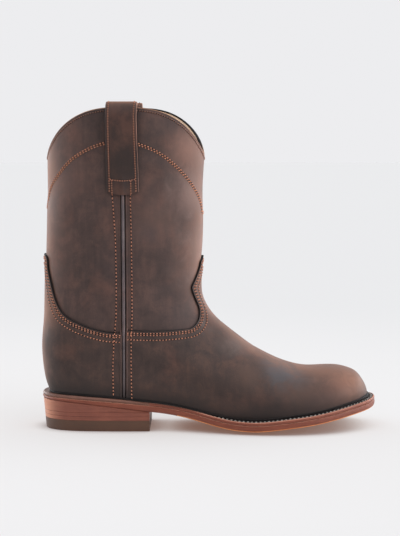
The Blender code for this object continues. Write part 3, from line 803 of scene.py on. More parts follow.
def offset_path(points, tree, distance, closed=False):
    """A path that runs beside another on a surface, at its left as seen from outside."""
    points, normals = settle(points, tree)
    normals = smooth_normals(normals, closed)
    left = np.cross(normals, tangents_of(points, closed))
    moved = settle(points + left * distance, tree)[0]
    nearest = np.array([np.linalg.norm(points - place, axis=1).min() for place in moved])
    return moved[nearest > abs(distance) * 0.96]


# Threads


def ring_of(corners):
    """Cosines and sines of evenly spaced turns."""
    turns = [math.tau * j / corners for j in range(corners)]
    return [(math.cos(turn), math.sin(turn)) for turn in turns]


def stitch_shape(length, radius, hole=0.0, corners=6, rings=5):
    """One stitch along the first axis, arched over the third, as points, faces and their
    material numbers. With a hole length, a dark dimple follows the stitch."""
    points, faces = [], []
    for k in range(rings):
        t = -1.0 + 2.0 * k / (rings - 1)
        girth = radius * max(1.0 - abs(t) ** 3, 0.0) ** 0.5 + radius * 0.12
        height = radius * (0.75 - 1.15 * t * t)
        for cosine, sine in ring_of(corners):
            points.append((t * length / 2, girth * cosine, height + girth * sine))
    sides = [(j, (j + 1) % corners) for j in range(corners)]
    for low in range(0, (rings - 1) * corners, corners):
        high = low + corners
        faces += [(low + j, high + j, high + after, low + after) for j, after in sides]
    faces.append(tuple(range(corners)))
    faces.append(tuple(range((rings - 1) * corners, rings * corners))[::-1])
    looks = [0] * len(faces)
    if hole:
        low = len(points)
        high = low + corners
        for height in (-0.0004, HOLE_STANDOFF):
            for cosine, sine in ring_of(corners):
                along = (length + hole) / 2 + (hole / 2 + 0.00012) * cosine
                points.append((along, radius * 1.1 * sine, height))
        faces += [tuple(range(low, high))[::-1], tuple(range(high, high + corners))]
        faces += [(low + j, low + after, high + after, high + j) for j, after in sides]
        looks += [1] * (corners + 2)
    return np.array(points), faces, looks


def lay_stitches(work, shape, places, tangents, normals, slant):
    """Adds a stitch to a bmesh at each place, turned by slant from the row's direction."""
    points, faces, looks = shape
    slant = math.radians(slant)
    along = tangents * math.cos(slant) + np.cross(normals, tangents) * math.sin(slant)
    across = np.cross(normals, along)
    for place, *axes in zip(places, along, across, normals):
        verts = [work.verts.new(point) for point in (points @ np.array(axes) + place).tolist()]
        for face, look in zip(faces, looks):
            work.faces.new([verts[i] for i in face]).material_index = look


def sewn(rows, tree, pitch=STITCH_PITCH, radius=STITCH_RADIUS, slant=8.0, paired=False):
    """Stitches along rows of points on a surface, as a bmesh. rows: (points, closed). In
    paired rows the stitches lie side by side."""
    length = pitch * STITCH_SHARE
    shape = stitch_shape(length, radius, pitch - length)
    work = bmesh.new()
    count = None
    for row, closed in rows:
        spots = resample(row, pitch, closed, count)
        if paired:
            count = len(spots) - (0 if closed else 1)
        places, normals = settle(spots, tree)
        tangents = tangents_of(places, closed)
        normals = unit(normals - tangents * (normals * tangents).sum(1, keepdims=True))
        lay_stitches(work, shape, places, tangents, normals, slant)
    return work


# Materials


def feed(tree, socket, value):
    """Gives an input a number, a vector, a colour or another node's output."""
    if isinstance(value, bpy.types.NodeSocket):
        tree.links.new(value, socket)
    elif socket.type == "RGBA" and len(value) == 3:
        socket.default_value = (*value, 1.0)
    else:
        socket.default_value = value


def node(tree, kind, settings=(), values=(), **inputs):
    """A new node. settings are its properties, values go to its first inputs in order, and
    inputs to named ones, with underscores for the spaces in a name."""
    made = tree.nodes.new(kind)
    for key, value in dict(settings).items():
        setattr(made, key, value)
    for socket, value in zip(made.inputs, values):
        feed(tree, socket, value)
    names = [socket.name for socket in made.inputs]
    for key, value in inputs.items():
        feed(tree, made.inputs[names.index(key.replace("_", " "))], value)
    return made


def new_material(name, **constants):
    """A material with these values on its shader, and its tree, shader and coordinates."""
    material = bpy.data.materials.new(name)
    material.use_nodes = True
    tree = material.node_tree
    shader = tree.nodes["Principled BSDF"]
    for key, value in constants.items():
        feed(tree, shader.inputs[key.replace("_", " ")], value)
    return material, tree, shader, node(tree, "ShaderNodeTexCoord").outputs["Object"]


def finish_material(tree, shader, colour, roughness, bumps):
    """Links colour, roughness and bumps to a shader. bumps: (height, strength, distance)."""
    feed(tree, shader.inputs["Base Color"], colour)
    feed(tree, shader.inputs["Roughness"], roughness)
    target = shader.inputs["Normal"]
    for height, strength, distance in reversed(bumps):
        made = node(tree, "ShaderNodeBump", Height=height, Strength=strength, Distance=distance)
        feed(tree, target, made.outputs["Normal"])
        target = made.inputs["Normal"]


def stretched(tree, place, scale):
    return node(tree, "ShaderNodeMapping", Vector=place, Scale=scale).outputs["Vector"]


def axis_of(tree, vector, axis):
    return node(tree, "ShaderNodeSeparateXYZ", Vector=vector).outputs[axis]


def facing(tree, axis):
    """How far a surface faces along an axis, from -1 to 1."""
    return axis_of(tree, node(tree, "ShaderNodeNewGeometry").outputs["Normal"], axis)


def openness(tree, reach):
    """0 where other surfaces lie close by, and 1 where there are none within reach."""
    settings = {"samples": OPENNESS_SAMPLES}
    return node(tree, "ShaderNodeAmbientOcclusion", settings, Distance=reach).outputs["AO"]


def noise(tree, place, scale, detail=3.0, roughness=0.55, distortion=0.0):
    values = {"Scale": scale, "Detail": detail, "Roughness": roughness, "Distortion": distortion}
    return node(tree, "ShaderNodeTexNoise", Vector=place, **values).outputs["Fac"]


def math_node(tree, operation, first, second=0.0):
    return node(tree, "ShaderNodeMath", {"operation": operation}, (first, second)).outputs[0]


def vector_math(tree, operation, *vectors):
    made = node(tree, "ShaderNodeVectorMath", {"operation": operation}, vectors)
    return made.outputs["Value"]


def weighed(tree, *parts):
    """The sum of values times their weights. parts: (value, weight)."""
    total, *others = (math_node(tree, "MULTIPLY", value, weight) for value, weight in parts)
    for other in others:
        total = math_node(tree, "ADD", total, other)
    return total


def in_range(tree, value, low, high, to_low=0.0, to_high=1.0):
    """A value's place between low and high, as a smooth step from to_low to to_high."""
    limits = {"From_Min": low, "From_Max": high, "To_Min": to_low, "To_Max": to_high}
    settings = {"interpolation_type": "SMOOTHSTEP"}
    return node(tree, "ShaderNodeMapRange", settings, Value=value, **limits).outputs["Result"]


def ramp(tree, value, stops):
    """A colour ramp. stops: (position, colour)."""
    made = node(tree, "ShaderNodeValToRGB", Fac=value)
    elements = made.color_ramp.elements
    while len(elements) < len(stops):
        elements.new(0.5)
    for element, (position, colour) in zip(elements, stops):
        element.position = position
        element.color = (*colour, 1.0)
    return made.outputs["Color"]


def mix(tree, factor, first, second):
    """A mix of two colours. Their inputs on the node, 6 and 7, share names with others."""
    made = node(tree, "ShaderNodeMix", {"data_type": "RGBA"})
    for number, value in ((0, factor), (6, first), (7, second)):
        feed(tree, made.inputs[number], value)
    return made.outputs[2]


def linear(*shown):
    """A colour from its 0 to 255 display values."""
    shares = [value / 255 for value in shown]
    return tuple(c / 12.92 if c < 0.0404 else ((c + 0.055) / 1.055) ** 2.4 for c in shares)


# The colour of the painted light on sole edges where they face backwards
PAINTED_BACK_LIGHT = linear(228, 158, 122)
RUST = linear(128, 82, 66)
WORN = 0.20
# The colour of painted shade near the sole and where other surfaces lie close by
PAINTED_SHADE = linear(26, 19, 18)
PAINTED_SHADE_REACH = 0.022
OPENNESS_SAMPLES = 8
PAINTED_LIGHT_SHARE = 0.62  # painted light: how pale the leather is where it faces forwards, backwards or up
SOLE_SCALE = 0.1
SOLE_SHARES = np.linspace(0.0, 1.0, 20)
# The sole's height along its length, as the greys of a colour ramp
SOLE_RAMP = [(share, [float(sole_top(x_of(share))) / SOLE_SCALE] * 3) for share in SOLE_SHARES]
SOLE_SHADE = 0.016  # height above the sole where the painted shade above it ends
LOW_SHADE = (0.012, 0.075)  # heights between which painted shade darkens the leather towards the sole

Patch = namedtuple("Patch", "place radius colour strength")
# Patches on the leather: where wax has come up, and where it is rubbed pale or bluish. The
# palest patches, on the toe and along the front and back of the shaft and counter, are painted
# highlights. Colours are display values, here and in the calls that make materials.
PATCHES = [
    Patch((0.222, -0.030, 0.050), 0.030, (146, 104, 86), 0.55),
    Patch((0.205, -0.020, 0.064), 0.024, (140, 92, 70), 0.50),
    Patch((0.173, -0.036, 0.062), 0.030, (84, 89, 96), 0.62),
    Patch((0.107, -0.032, 0.101), 0.018, (164, 146, 140), 0.50),
    Patch((0.130, -0.026, 0.086), 0.022, (160, 136, 126), 0.28),
    Patch((0.106, -0.008, 0.158), 0.046, (176, 140, 126), 0.34),
    Patch((0.088, -0.028, 0.215), 0.030, (156, 124, 114), 0.38),
    Patch((-0.046, -0.008, 0.232), 0.028, (164, 116, 92), 0.38),
    Patch((-0.047, -0.012, 0.108), 0.026, (172, 122, 96), 0.36),
    Patch((0.224, -0.034, 0.036), 0.024, (140, 96, 80), 0.40),
    Patch((-0.052, 0.000, 0.170), 0.050, (150, 102, 80), 0.15),
    Patch((-0.058, 0.000, 0.055), 0.034, (178, 138, 122), 0.45),
    Patch((0.234, -0.020, 0.038), 0.024, (176, 122, 96), 0.55),
    Patch((0.208, -0.040, 0.032), 0.026, (112, 76, 62), 0.50),
    Patch((0.140, -0.044, 0.055), 0.022, (104, 72, 56), 0.40),
    Patch((0.186, -0.046, 0.038), 0.022, (100, 70, 56), 0.40),
    Patch((0.060, -0.043, 0.190), 0.030, (108, 80, 70), 0.35),
    Patch((0.086, -0.030, 0.252), 0.028, (150, 108, 92), 0.45),
    Patch((0.020, -0.043, 0.150), 0.026, (60, 48, 48), 0.35),
    Patch((0.050, -0.043, 0.178), 0.014, (62, 52, 54), 0.45),
    Patch((-0.020, -0.040, 0.225), 0.026, (104, 76, 68), 0.30),
]


def leather(name, deep, middle, pale, lit_tone, turn=(0.94, 0.30), roughness=0.58, marks_and_highlights=()):
    """Waxed leather: dark where the wax lies, with painted light, paler and redder, where it faces
    forwards, backwards or up, and painted shade near the sole and where surfaces lie close by.
    turn: how far it faces to the side where the painted light starts and where it is full."""
    material, tree, shader, place = new_material(
        name,
        Sheen_Weight=0.06,
        Sheen_Roughness=0.45,
        Sheen_Tint=linear(222, 184, 166),
        Specular_IOR_Level=0.36,
    )
    clouds = noise(tree, place, 19.0, 5.0, 0.62, 0.4)
    smudges = noise(tree, place, 74.0, 5.0, 0.60, 0.8)
    rubs = noise(tree, stretched(tree, place, (1.0, 1.0, 0.13)), 210.0, 3.0, 0.6)
    specks = noise(tree, place, 900.0, 3.0, 0.7)
    tone = weighed(tree, (clouds, 0.38), (smudges, 0.30), (rubs, 0.18), (specks, 0.14))
    deep, middle, pale, lit_tone = (linear(*shade) for shade in (deep, middle, pale, lit_tone))
    colour = ramp(tree, tone, ((0.38, deep), (0.50, middle), (0.63, pale)))
    worn = in_range(tree, noise(tree, place, 26.0, 6.0, 0.68, 0.2), 0.47, 0.68, 0.0, WORN)
    colour = mix(tree, worn, colour, RUST)
    # Painted light: paler and redder where the surface faces forwards, backwards or up, mottled by
    # the smudges
    sideways = math_node(tree, "ABSOLUTE", facing(tree, "Y"))
    lit_share = in_range(tree, sideways, *turn, 0.0, PAINTED_LIGHT_SHARE)
    lit_share = math_node(tree, "MULTIPLY", lit_share, in_range(tree, smudges, 0.32, 0.66, 0.55, 1.0))
    colour = mix(tree, lit_share, colour, lit_tone)
    # Soft round patches of colour: marks on the leather, and painted highlights
    for patch in marks_and_highlights:
        blur = math_node(tree, "MULTIPLY", smudges, patch.radius)
        reach = math_node(tree, "ADD", vector_math(tree, "DISTANCE", place, patch.place), blur)
        share = in_range(tree, reach, patch.radius * 1.6, patch.radius * 0.5, 0.0, patch.strength)
        colour = mix(tree, share, colour, linear(*patch.colour))

    # Painted shade: darker towards the sole, darkest just above it, and dark where other surfaces
    # lie close by
    height = axis_of(tree, place, "Z")
    colour = mix(tree, in_range(tree, height, LOW_SHADE[1], LOW_SHADE[0], 0.0, 0.6), colour, deep)
    along = in_range(tree, axis_of(tree, place, "X"), BACK_X, x_of(1.0))
    sole = math_node(tree, "MULTIPLY", ramp(tree, along, SOLE_RAMP), SOLE_SCALE)
    above = math_node(tree, "SUBTRACT", height, sole)
    shade = in_range(tree, along, 0.70, 0.95, 0.75, 0.20)
    shade = math_node(tree, "MULTIPLY", shade, in_range(tree, above, SOLE_SHADE, 0.0))
    colour = mix(tree, shade, colour, PAINTED_SHADE)
    shade = in_range(tree, openness(tree, PAINTED_SHADE_REACH), 0.35, 0.92, 0.9, 0.0)
    colour = mix(tree, shade, colour, PAINTED_SHADE)

    gloss = in_range(tree, tone, 0.35, 0.65, roughness - 0.07, roughness + 0.08)
    cells = node(tree, "ShaderNodeTexVoronoi", Vector=place, Scale=1150.0).outputs["Distance"]
    pores = noise(tree, place, 2600.0, 2.0, 0.6)
    wrinkles = noise(tree, place, 330.0, 4.0, 0.6, 1.2)
    bumps = ((wrinkles, 0.13, 0.0006), (cells, 0.23, 0.00016), (pores, 0.15, 0.0001))
    finish_material(tree, shader, colour, gloss, bumps)
    return material


def sole_edge(name, deep, middle, pale, roughness=0.5, layers=900.0, back_light=0.0):
    """The burnished edge of sole leather, with fine streaks along its layers. It is paler where it
    faces backwards, by the share given last: painted light from behind."""
    material, tree, shader, place = new_material(
        name, Specular_IOR_Level=0.45, Coat_Weight=0.12, Coat_Roughness=0.30
    )
    streaks = noise(tree, stretched(tree, place, (0.035, 0.035, 1.0)), layers, 4.0, 0.65)
    spots = noise(tree, place, 160.0, 4.0, 0.6)
    clouds = noise(tree, place, 34.0, 3.0, 0.6)
    tone = weighed(tree, (streaks, 0.46), (spots, 0.24), (clouds, 0.30))
    stops = ((0.28, linear(*deep)), (0.50, linear(*middle)), (0.72, linear(*pale)))
    colour = ramp(tree, tone, stops)
    # Painted light: paler where the edge faces backwards
    backwards = in_range(tree, facing(tree, "X"), -0.35, -0.95, 0.0, back_light)
    colour = mix(tree, backwards, colour, PAINTED_BACK_LIGHT)
    gloss = in_range(tree, tone, 0.3, 0.7, roughness - 0.08, roughness + 0.1)
    finish_material(tree, shader, colour, gloss, ((streaks, 0.2, 0.0003), (spots, 0.12, 0.0003)))
    return material


def cut_leather(name, deep, pale, roughness=0.8, scale=700.0, medial=None):
    """A raw cut or suede face with loose fibres. medial: its colour on the medial side."""
    material, tree, shader, place = new_material(name, Specular_IOR_Level=0.12, Sheen_Weight=0.1)
    fibres = noise(tree, place, scale, 4.0, 0.7, 1.0)
    clouds = noise(tree, place, 60.0, 3.0, 0.6)
    tone = weighed(tree, (fibres, 0.5), (clouds, 0.5))
    colour = ramp(tree, tone, ((0.38, linear(*deep)), (0.62, linear(*pale))))
    if medial:
        side = in_range(tree, axis_of(tree, place, "Y"), -0.004, 0.016)
        colour = mix(tree, side, colour, linear(*medial))
    gloss = in_range(tree, fibres, 0.3, 0.7, roughness - 0.1, roughness + 0.1)
    finish_material(tree, shader, colour, gloss, ((fibres, 0.4, 0.0002),))
    return material


def thread(name, deep, pale, scale=1500.0):
    """Twisted waxed thread."""
    material, tree, shader, place = new_material(name, Sheen_Weight=0.3, Specular_IOR_Level=0.4)
    settings = {"wave_type": "BANDS", "bands_direction": "DIAGONAL"}
    values = {"Scale": scale, "Distortion": 1.5, "Detail": 1.0}
    twist = node(tree, "ShaderNodeTexWave", settings, Vector=place, **values).outputs["Fac"]
    wear = noise(tree, place, 420.0, 3.0, 0.6)
    tone = weighed(tree, (twist, 0.35), (wear, 0.65))
    colour = ramp(tree, tone, ((0.30, linear(*deep)), (0.62, linear(*pale))))
    gloss = in_range(tree, wear, 0.3, 0.7, 0.5, 0.72)
    finish_material(tree, shader, colour, gloss, ((twist, 0.5, 0.0001),))
    return material


# The last tone given to each leather here is its painted light, where it faces forwards, backwards
# or up
SHAFT_TONES = ((50, 37, 34), (66, 49, 45), (88, 64, 57), (152, 113, 97))
SHAFT_LEATHER = leather("waxed_shaft_leather", *SHAFT_TONES, (0.95, 0.33), marks_and_highlights=PATCHES)
VAMP_TONES = ((43, 31, 28), (61, 45, 40), (86, 61, 51), (148, 106, 88))
VAMP_LEATHER = leather("waxed_vamp_leather", *VAMP_TONES, (0.70, 0.08), marks_and_highlights=PATCHES)
STRAP_LEATHER = leather(
    "waxed_strap_leather", (34, 23, 20), (47, 32, 28), (63, 43, 36), (158, 110, 86)
)
CORD_LEATHER = leather(
    "piping_leather", (62, 55, 57), (86, 77, 79), (108, 97, 98), (122, 109, 109), roughness=0.42
)
# Black for blackened edges, the welt's top and piping, and for painted shade in the seam's
# grooves, along the straps' back edges and where the upper meets the welt
BLACK_EDGE_AND_SHADE = cut_leather("blackened_edge_and_shade", (12, 9, 9), (29, 23, 22), 0.65, 500.0)
CUT_EDGE = cut_leather("cut_edge", (118, 82, 67), (166, 126, 108), 0.75)
LIP_EDGE = cut_leather("lip_edge", (160, 116, 90), (214, 170, 138), 0.7, medial=(40, 32, 30))
LINING_LEATHER = cut_leather("lining_leather", (214, 186, 156), (240, 220, 196), 0.7, 420.0)
SOCK_LEATHER = cut_leather("sock_leather", (170, 128, 90), (206, 166, 124), 0.62, 380.0)
RUSSET_THREAD = thread("russet_thread", (136, 78, 54), (204, 132, 96))
COPPER_THREAD = thread("copper_thread", (156, 88, 60), (226, 148, 106))
DARK_THREAD = thread("dark_thread", (92, 56, 42), (158, 102, 78))
WELT_THREAD = thread("welt_thread", (84, 76, 72), (166, 156, 148), 1100.0)
THREAD_HOLE = cut_leather("thread_hole", (16, 10, 9), (32, 22, 19), 0.8)
SEWING = (RUSSET_THREAD, THREAD_HOLE)
ARCH_SEWING = (COPPER_THREAD, THREAD_HOLE)
SOLE_EDGE = sole_edge("burnished_sole_edge", (94, 41, 25), (116, 55, 35), (137, 72, 49))
HEEL_EDGE = sole_edge(
    "stacked_heel_edge", (95, 47, 34), (119, 63, 47), (141, 82, 62), layers=640.0, back_light=0.55
)
RAND_EDGE = sole_edge("rand_edge", (78, 46, 35), (102, 63, 48), (128, 84, 66))
BEVEL_EDGE = cut_leather("bevelled_edge", (150, 98, 80), (178, 126, 106), 0.6)
ORANGE_EDGE = cut_leather("tread_edge", (190, 112, 66), (226, 150, 96), 0.6)
SOLE_UNDERSIDE = cut_leather("sole_underside", (150, 100, 70), (186, 136, 100), 0.6, 240.0)
HEEL_RUBBER = sole_edge("heel_rubber", (65, 42, 31), (80, 53, 38), (94, 64, 48), 0.68, 500.0)


# The sole and heel


def closed_outline():
    """Splines of x and y from the heel's back, along the lateral side, the toe and back."""
    xs = [row.along for row in SOLE_OUTLINE]
    lateral = [-row.lateral * OUTSOLE_WIDTH for row in SOLE_OUTLINE]
    medial = [row.medial * OUTSOLE_WIDTH for row in SOLE_OUTLINE]
    shares = [0.0] + xs + [1.0] + xs[::-1]
    sides = [0.0] + lateral + [TOE_TIP_SIDE * OUTSOLE_WIDTH] + medial[::-1]
    return spline([x_of(share) for share in shares], True), spline(sides, True), len(shares)


OUTLINE_X, OUTLINE_Y, OUTLINE_SPAN = closed_outline()
LATERAL_POSITIONS = np.linspace(0.0, OUTLINE_SPAN / 2, 2001)
BREAST_POSITION = float(np.interp(BREAST_X, OUTLINE_X(LATERAL_POSITIONS), LATERAL_POSITIONS))


def outline_frame(positions):
    """Points on the sole's outline and their outward directions, level with the ground."""
    positions = np.asarray(positions, float)
    step = 0.02
    x, y = OUTLINE_X(positions), OUTLINE_Y(positions)
    along_x = OUTLINE_X(positions + step) - OUTLINE_X(positions - step)
    along_y = OUTLINE_Y(positions + step) - OUTLINE_Y(positions - step)
    length = np.hypot(along_x, along_y)
    out = np.stack([along_y / length, -along_x / length, np.zeros_like(x)], axis=-1)
    return np.stack([x, y, np.zeros_like(x)], axis=-1), out


def outline_columns(positions, levels):
    """Points beside the sole's outline, a list for each level. levels: (inset, height at x)."""
    places, out = outline_frame(positions)
    columns = []
    for inset, height in levels:
        spot = places - out * inset
        spot[:, 2] = height(spot[:, 0])
        columns.append(spot)
    return columns


def plate(levels, end, steps, looks, tread=None, face=0):
    """A solid between both sides of the outline, from the heel's back to a position. levels:
    (inset, height at x) from the top down. looks: the material number below each level. tread:
    (shares, height at x) of the underside. face: the material number above and below."""
    even = np.linspace(0.0, end, steps + 1)
    eased = end * (0.5 - 0.5 * np.cos(np.pi * np.arange(steps + 1) / steps))
    positions = (even + eased) / 2
    lateral, medial = (outline_columns(sign * positions, levels) for sign in (1, -1))
    under = []
    for share in tread[0] if tread else ():
        spot = lateral[-1] * (1 - share) + medial[-1] * share
        spot[:, 2] = tread[1](spot[:, 0], share)
        under.append(spot)
    rings = np.stack(lateral + under + medial[::-1], axis=1)
    kinds = list(looks) + [face] * (len(under) + 1) + list(looks)[::-1] + [face]
    return loft(rings, kinds, caps=(None, looks[0] if end < OUTLINE_SPAN / 2 else None))


def level(height):
    return lambda x: np.full_like(np.asarray(x, float), height)


def lowered(height, drop):
    return lambda x: height(x) - drop


def make_outsole():
    bevel = 0.0004
    levels = (
        (0.0006, outsole_top),
        (0.0000, lowered(outsole_top, bevel)),
        (-0.0003, lambda x: (outsole_top(x) + outsole_edge(x)) / 2),
        (0.0, lowered(outsole_edge, -EDGE_CHAMFER * 0.85)),
        (EDGE_CHAMFER * 0.35, lowered(outsole_edge, -bevel)),
        (EDGE_CHAMFER, outsole_edge),
    )

    def tread_height(x, share):
        belly = math.sin(math.pi * share) ** 0.6
        return outsole_edge(x) + (outsole_tread(x) - outsole_edge(x)) * belly

    tread = ((0.06, 0.14, 0.26, 0.5, 0.74, 0.86, 0.94), tread_height)
    work = plate(levels, OUTLINE_SPAN / 2, 220, (1, 0, 0, 2, 2), tread, 3)
    for face in work.faces:
        if face.material_index == 2 and face.calc_center_median().x < WAIST_X:
            face.material_index = 0
    materials = (SOLE_EDGE, BEVEL_EDGE, ORANGE_EDGE, SOLE_UNDERSIDE)
    finish_piece("outsole_leather", work, materials, ("outsole",), sharp=35.0)


def rim_piece(name, span, count, section, looks, materials, nodes):
    """A strip along the sole's outline. section: (inwards, down from the welt's top)."""
    levels = [(inset, lowered(sole_top, drop)) for inset, drop in section]
    rings = np.stack(outline_columns(np.linspace(*span, count + 1), levels), axis=1)
    work = loft(rings, looks, caps=(looks[0], looks[0]))
    finish_piece(name, work, materials, nodes, sharp=35.0)


def upright(path, closed=False):
    """At each place of a path: its direction, a level one across it, and one up from both."""
    tangents = tangents_of(path, closed)
    up = unit(np.cross(np.cross(tangents, UP), tangents))
    return tangents, np.cross(up, tangents), up


def make_welt():
    """The welt with its blackened top, and the rope stitch near its edge."""
    section = (
        (0.0002, WELT_THICKNESS),
        (-0.0001, WELT_THICKNESS * 0.6),
        (0.0001, 0.0007),
        (0.0006, 0.0001),
        (0.0013, 0.0000),
        (0.0022, 0.0004),
        (0.0042, 0.0004),
        (0.0052, 0.0000),
        (WELT_WIDTH, 0.0),
        (WELT_WIDTH, WELT_THICKNESS),
    )
    looks = (0, 0, 1, 1, 2, 2, 2, 2, 2, 0)
    materials = (SOLE_EDGE, BEVEL_EDGE, BLACK_EDGE_AND_SHADE)
    start, end = BREAST_POSITION, OUTLINE_SPAN - BREAST_POSITION
    span = (start, end)
    rim_piece("welt_strip", span, 420, section, looks, materials, ("welt",))

    margin = 0.15
    positions = np.linspace(start + margin, end - margin, 1600)
    row = outline_columns(positions, [(WELT_ROW, lowered(sole_top, WELT_ROW_DROP))])[0]
    row = resample(row, WELT_PITCH)
    tangents, _, up = upright(row)
    length = WELT_PITCH * WELT_STITCH_SHARE
    shape = stitch_shape(length, WELT_STITCH_RADIUS, corners=8, rings=7)
    work = bmesh.new()
    lay_stitches(work, shape, row, tangents, up, WELT_SLANT)
    finish_piece("welt_stitches", work, (WELT_THREAD,), sharp=0)


def make_feather_shade():
    """A black tube where the upper meets the welt and the rand: painted shade in the gap there."""
    clear = 0.006
    path = []
    for place, out in zip(*outline_frame(np.linspace(0.0, OUTLINE_SPAN, 900, endpoint=False))):
        start = place + out * clear
        start[2] = sole_top(place[0]) + FEATHER_SHADE_RADIUS
        hit = SKIN_TREE.ray_cast(Vector(start), Vector(-out))[0]
        if hit is not None:
            path.append(np.array(hit))
    path = resample(path, EDGE_SPACING, True)
    section = ellipse(FEATHER_SHADE_RADIUS, FEATHER_SHADE_RADIUS, 8)
    work = sweep(path, *upright(path, True)[1:], section, closed=True)
    finish_piece("feather_shade", work, (BLACK_EDGE_AND_SHADE,), sharp=0)


def make_heel():
    """The rand round the heel seat and the stack of lifts under it."""
    rand = (
        (0.0003, WELT_THICKNESS),
        (-0.0001, WELT_THICKNESS * 0.55),
        (0.0003, 0.0005),
        (0.0010, 0.0),
        (WELT_WIDTH, 0.0),
        (WELT_WIDTH, WELT_THICKNESS),
    )
    span = (-BREAST_POSITION, BREAST_POSITION)
    looks = [0] * len(rand)
    nodes = ("heel_rand",)
    rim_piece("heel_rand_strip", span, 200, rand, looks, (RAND_EDGE,), nodes)

    wedge_bottom = float(outsole_edge(BREAST_X)) - GAP - WEDGE_FRONT
    lift = (wedge_bottom - TOP_LIFT_THICKNESS - 3 * GAP) / 2
    lower_bottom = TOP_LIFT_THICKNESS + GAP
    upper_bottom = lower_bottom + lift + GAP
    stack = (
        ("cap", "top_lift", 0.0, level(lower_bottom - HEEL_LINE)),
        ("layer_lower", "heel_lift_lower", lower_bottom, level(upper_bottom - HEEL_LINE)),
        ("layer_upper", "heel_lift_upper", upper_bottom, level(wedge_bottom - HEEL_LINE)),
        ("layer_wedge", "heel_wedge", wedge_bottom, lowered(outsole_edge, HEEL_LINE)),
    )
    full = float(outsole_edge(BACK_X))
    for name, cad_node, bottom, top in stack:
        rubber = cad_node == "top_lift"
        material, slot = (HEEL_RUBBER, "heel_rubber") if rubber else (HEEL_EDGE, "heel_leather")
        inset_low = EDGE_CHAMFER * 0.4 + HEEL_TAPER * (1 - bottom / full)
        inset_high = EDGE_CHAMFER * 0.4 + HEEL_TAPER * (1 - min(float(top(BACK_X)), full) / full)
        levels = (
            (inset_high + HEEL_GROOVE, top),
            (inset_high, lowered(top, HEEL_GROOVE)),
            (inset_low, level(bottom + HEEL_GROOVE)),
            (inset_low + HEEL_GROOVE, level(bottom)),
        )
        work = plate(levels, BREAST_POSITION, 90, (0, 0, 0))
        finish_piece(f"heel_{name}", work, (material,), (cad_node,), sharp=35.0)


# The upper


def foot_line(start, end, drop=TUCK, count=60):
    """Points (x, z) just inside the welt, from start to end."""
    xs = np.linspace(start, end, count + 1)
    return list(zip(xs.tolist(), (sole_top(xs) - drop).tolist()))


def vamp_line():
    """The vamp's upper edge in side view, from the side seam to the top of the tongue."""
    points = edge_points(VAMP_EDGE) + edge_points(TONGUE_EDGE)[1:]
    return [point for point in points if point[0] > SEAM_X + SEAM_HALF_GAP]


def counter_line():
    """The counter's upper edge in side view, from the side seam to the back."""
    return [point for point in edge_points(COUNTER_EDGE) if point[0] < SEAM_X - SEAM_HALF_GAP]


def make_shaft():
    """The shaft's leather, down to under the overlays, and the lining of shaft and foot."""
    margin = 0.02
    back, toe = BACK_X - margin, x_of(1.0) + margin
    front, rise = 0.108, 0.050
    outline = foot_line(back, front, -rise, 39) + [(front, OVER_ALL), (back, OVER_ALL)]
    looks = {"material": SHAFT_LEATHER, "nodes": ("upper",), "slot": "shaft_leather"}
    skin_piece("shaft_leather_shell", SHAFT_DEPTH, outline, SHAFT_WALL, **looks)

    outline = foot_line(back, toe, 0.0) + [(toe, OVER_ALL), (back, OVER_ALL)]
    looks = {"material": LINING_LEATHER, "slot": "shaft_leather"}
    skin_piece("shaft_lining", LINING_DEPTH, outline, LINING_WALL, every=2, **looks)


def make_overlays():
    """The vamp and the counter, from their upper edges down behind the welt's top."""
    front = x_of(1.0) + LASTING_DEPTH
    seam = SEAM_X + SEAM_HALF_GAP
    edge = vamp_line()
    vamp = [(seam, edge[0][1])] + edge + [(front, edge[-1][1])] + foot_line(front, seam)

    seam = SEAM_X - SEAM_HALF_GAP
    edge = counter_line()
    counter = [(seam, edge[0][1])] + edge + foot_line(edge[-1][0], seam)
    wall = OVERLAY_WALL + GAP
    for name, outline in (("vamp", vamp), ("counter", counter)):
        skin_piece(f"{name}_shell", 0.0, outline, wall, VAMP_LEATHER, (name,), "vamp_leather")


def both_sides(outline, crown):
    """A path up the lateral side, over the boot's front or back at crown, and down the
    medial side. crown: (x, z) of the place between the sides."""
    lateral, medial = (side_path(SKIN_TREE, outline, side) for side in (-1, 1))
    middle = np.array(SKIN_TREE.find_nearest(Vector((crown[0], 0.0, crown[1])))[0])
    path = np.vstack([lateral, middle[None], medial[::-1]])
    return settle(resample(path, EDGE_SPACING), SKIN_TREE)[0]


def bead(name, path):
    """A blackened edge along a path on the skin."""
    path, normals = settle(resample(path, EDGE_SPACING), SKIN_TREE)
    normals = smooth_normals(normals)
    across = np.cross(normals, tangents_of(path))
    section = rounded_ends(ellipse(BEAD_RADIUS, BEAD_HEIGHT, 8, -BEAD_SINK), len(path))
    finish_piece(name, sweep(path, across, normals, section), (BLACK_EDGE_AND_SHADE,), sharp=0)


def double_row(path, tree, away=0.0, sign=1, closed=False):
    """Two rows of points close together, to the left of a path or, with sign -1, the right."""
    steps = (-DOUBLE_ROW / 2, DOUBLE_ROW / 2)
    return [(offset_path(path, tree, sign * (away + step), closed), closed) for step in steps]


def overlay_rows(path, sign):
    """Two rows of stitches close together beside an edge, and a single one further off."""
    double = double_row(path, SKIN_TREE, FIRST_ROW, sign)
    single = [(offset_path(path, SKIN_TREE, sign * THIRD_ROW), False)]
    return joined([sewn(double, SKIN_TREE, paired=True), sewn(single, SKIN_TREE)])


def make_overlay_edges():
    """Blackened edges and rows of stitches along the vamp's and the counter's upper edges."""
    vamp = vamp_line()
    counter = [point for point in counter_line() if point[0] > BACK_X - 0.002]
    edges = (
        ("vamp", vamp, (VAMP_CROWN_X, vamp[-1][1] - 0.0006), -1),
        ("counter", counter, (COUNTER_CROWN_X, counter[-1][1] + 0.0004), 1),
    )
    for name, line, crown, sign in edges:
        path = both_sides(line, crown)
        bead(f"{name}_edge", path)
        finish_piece(f"{name}_stitches", overlay_rows(path, sign), SEWING, sharp=0)


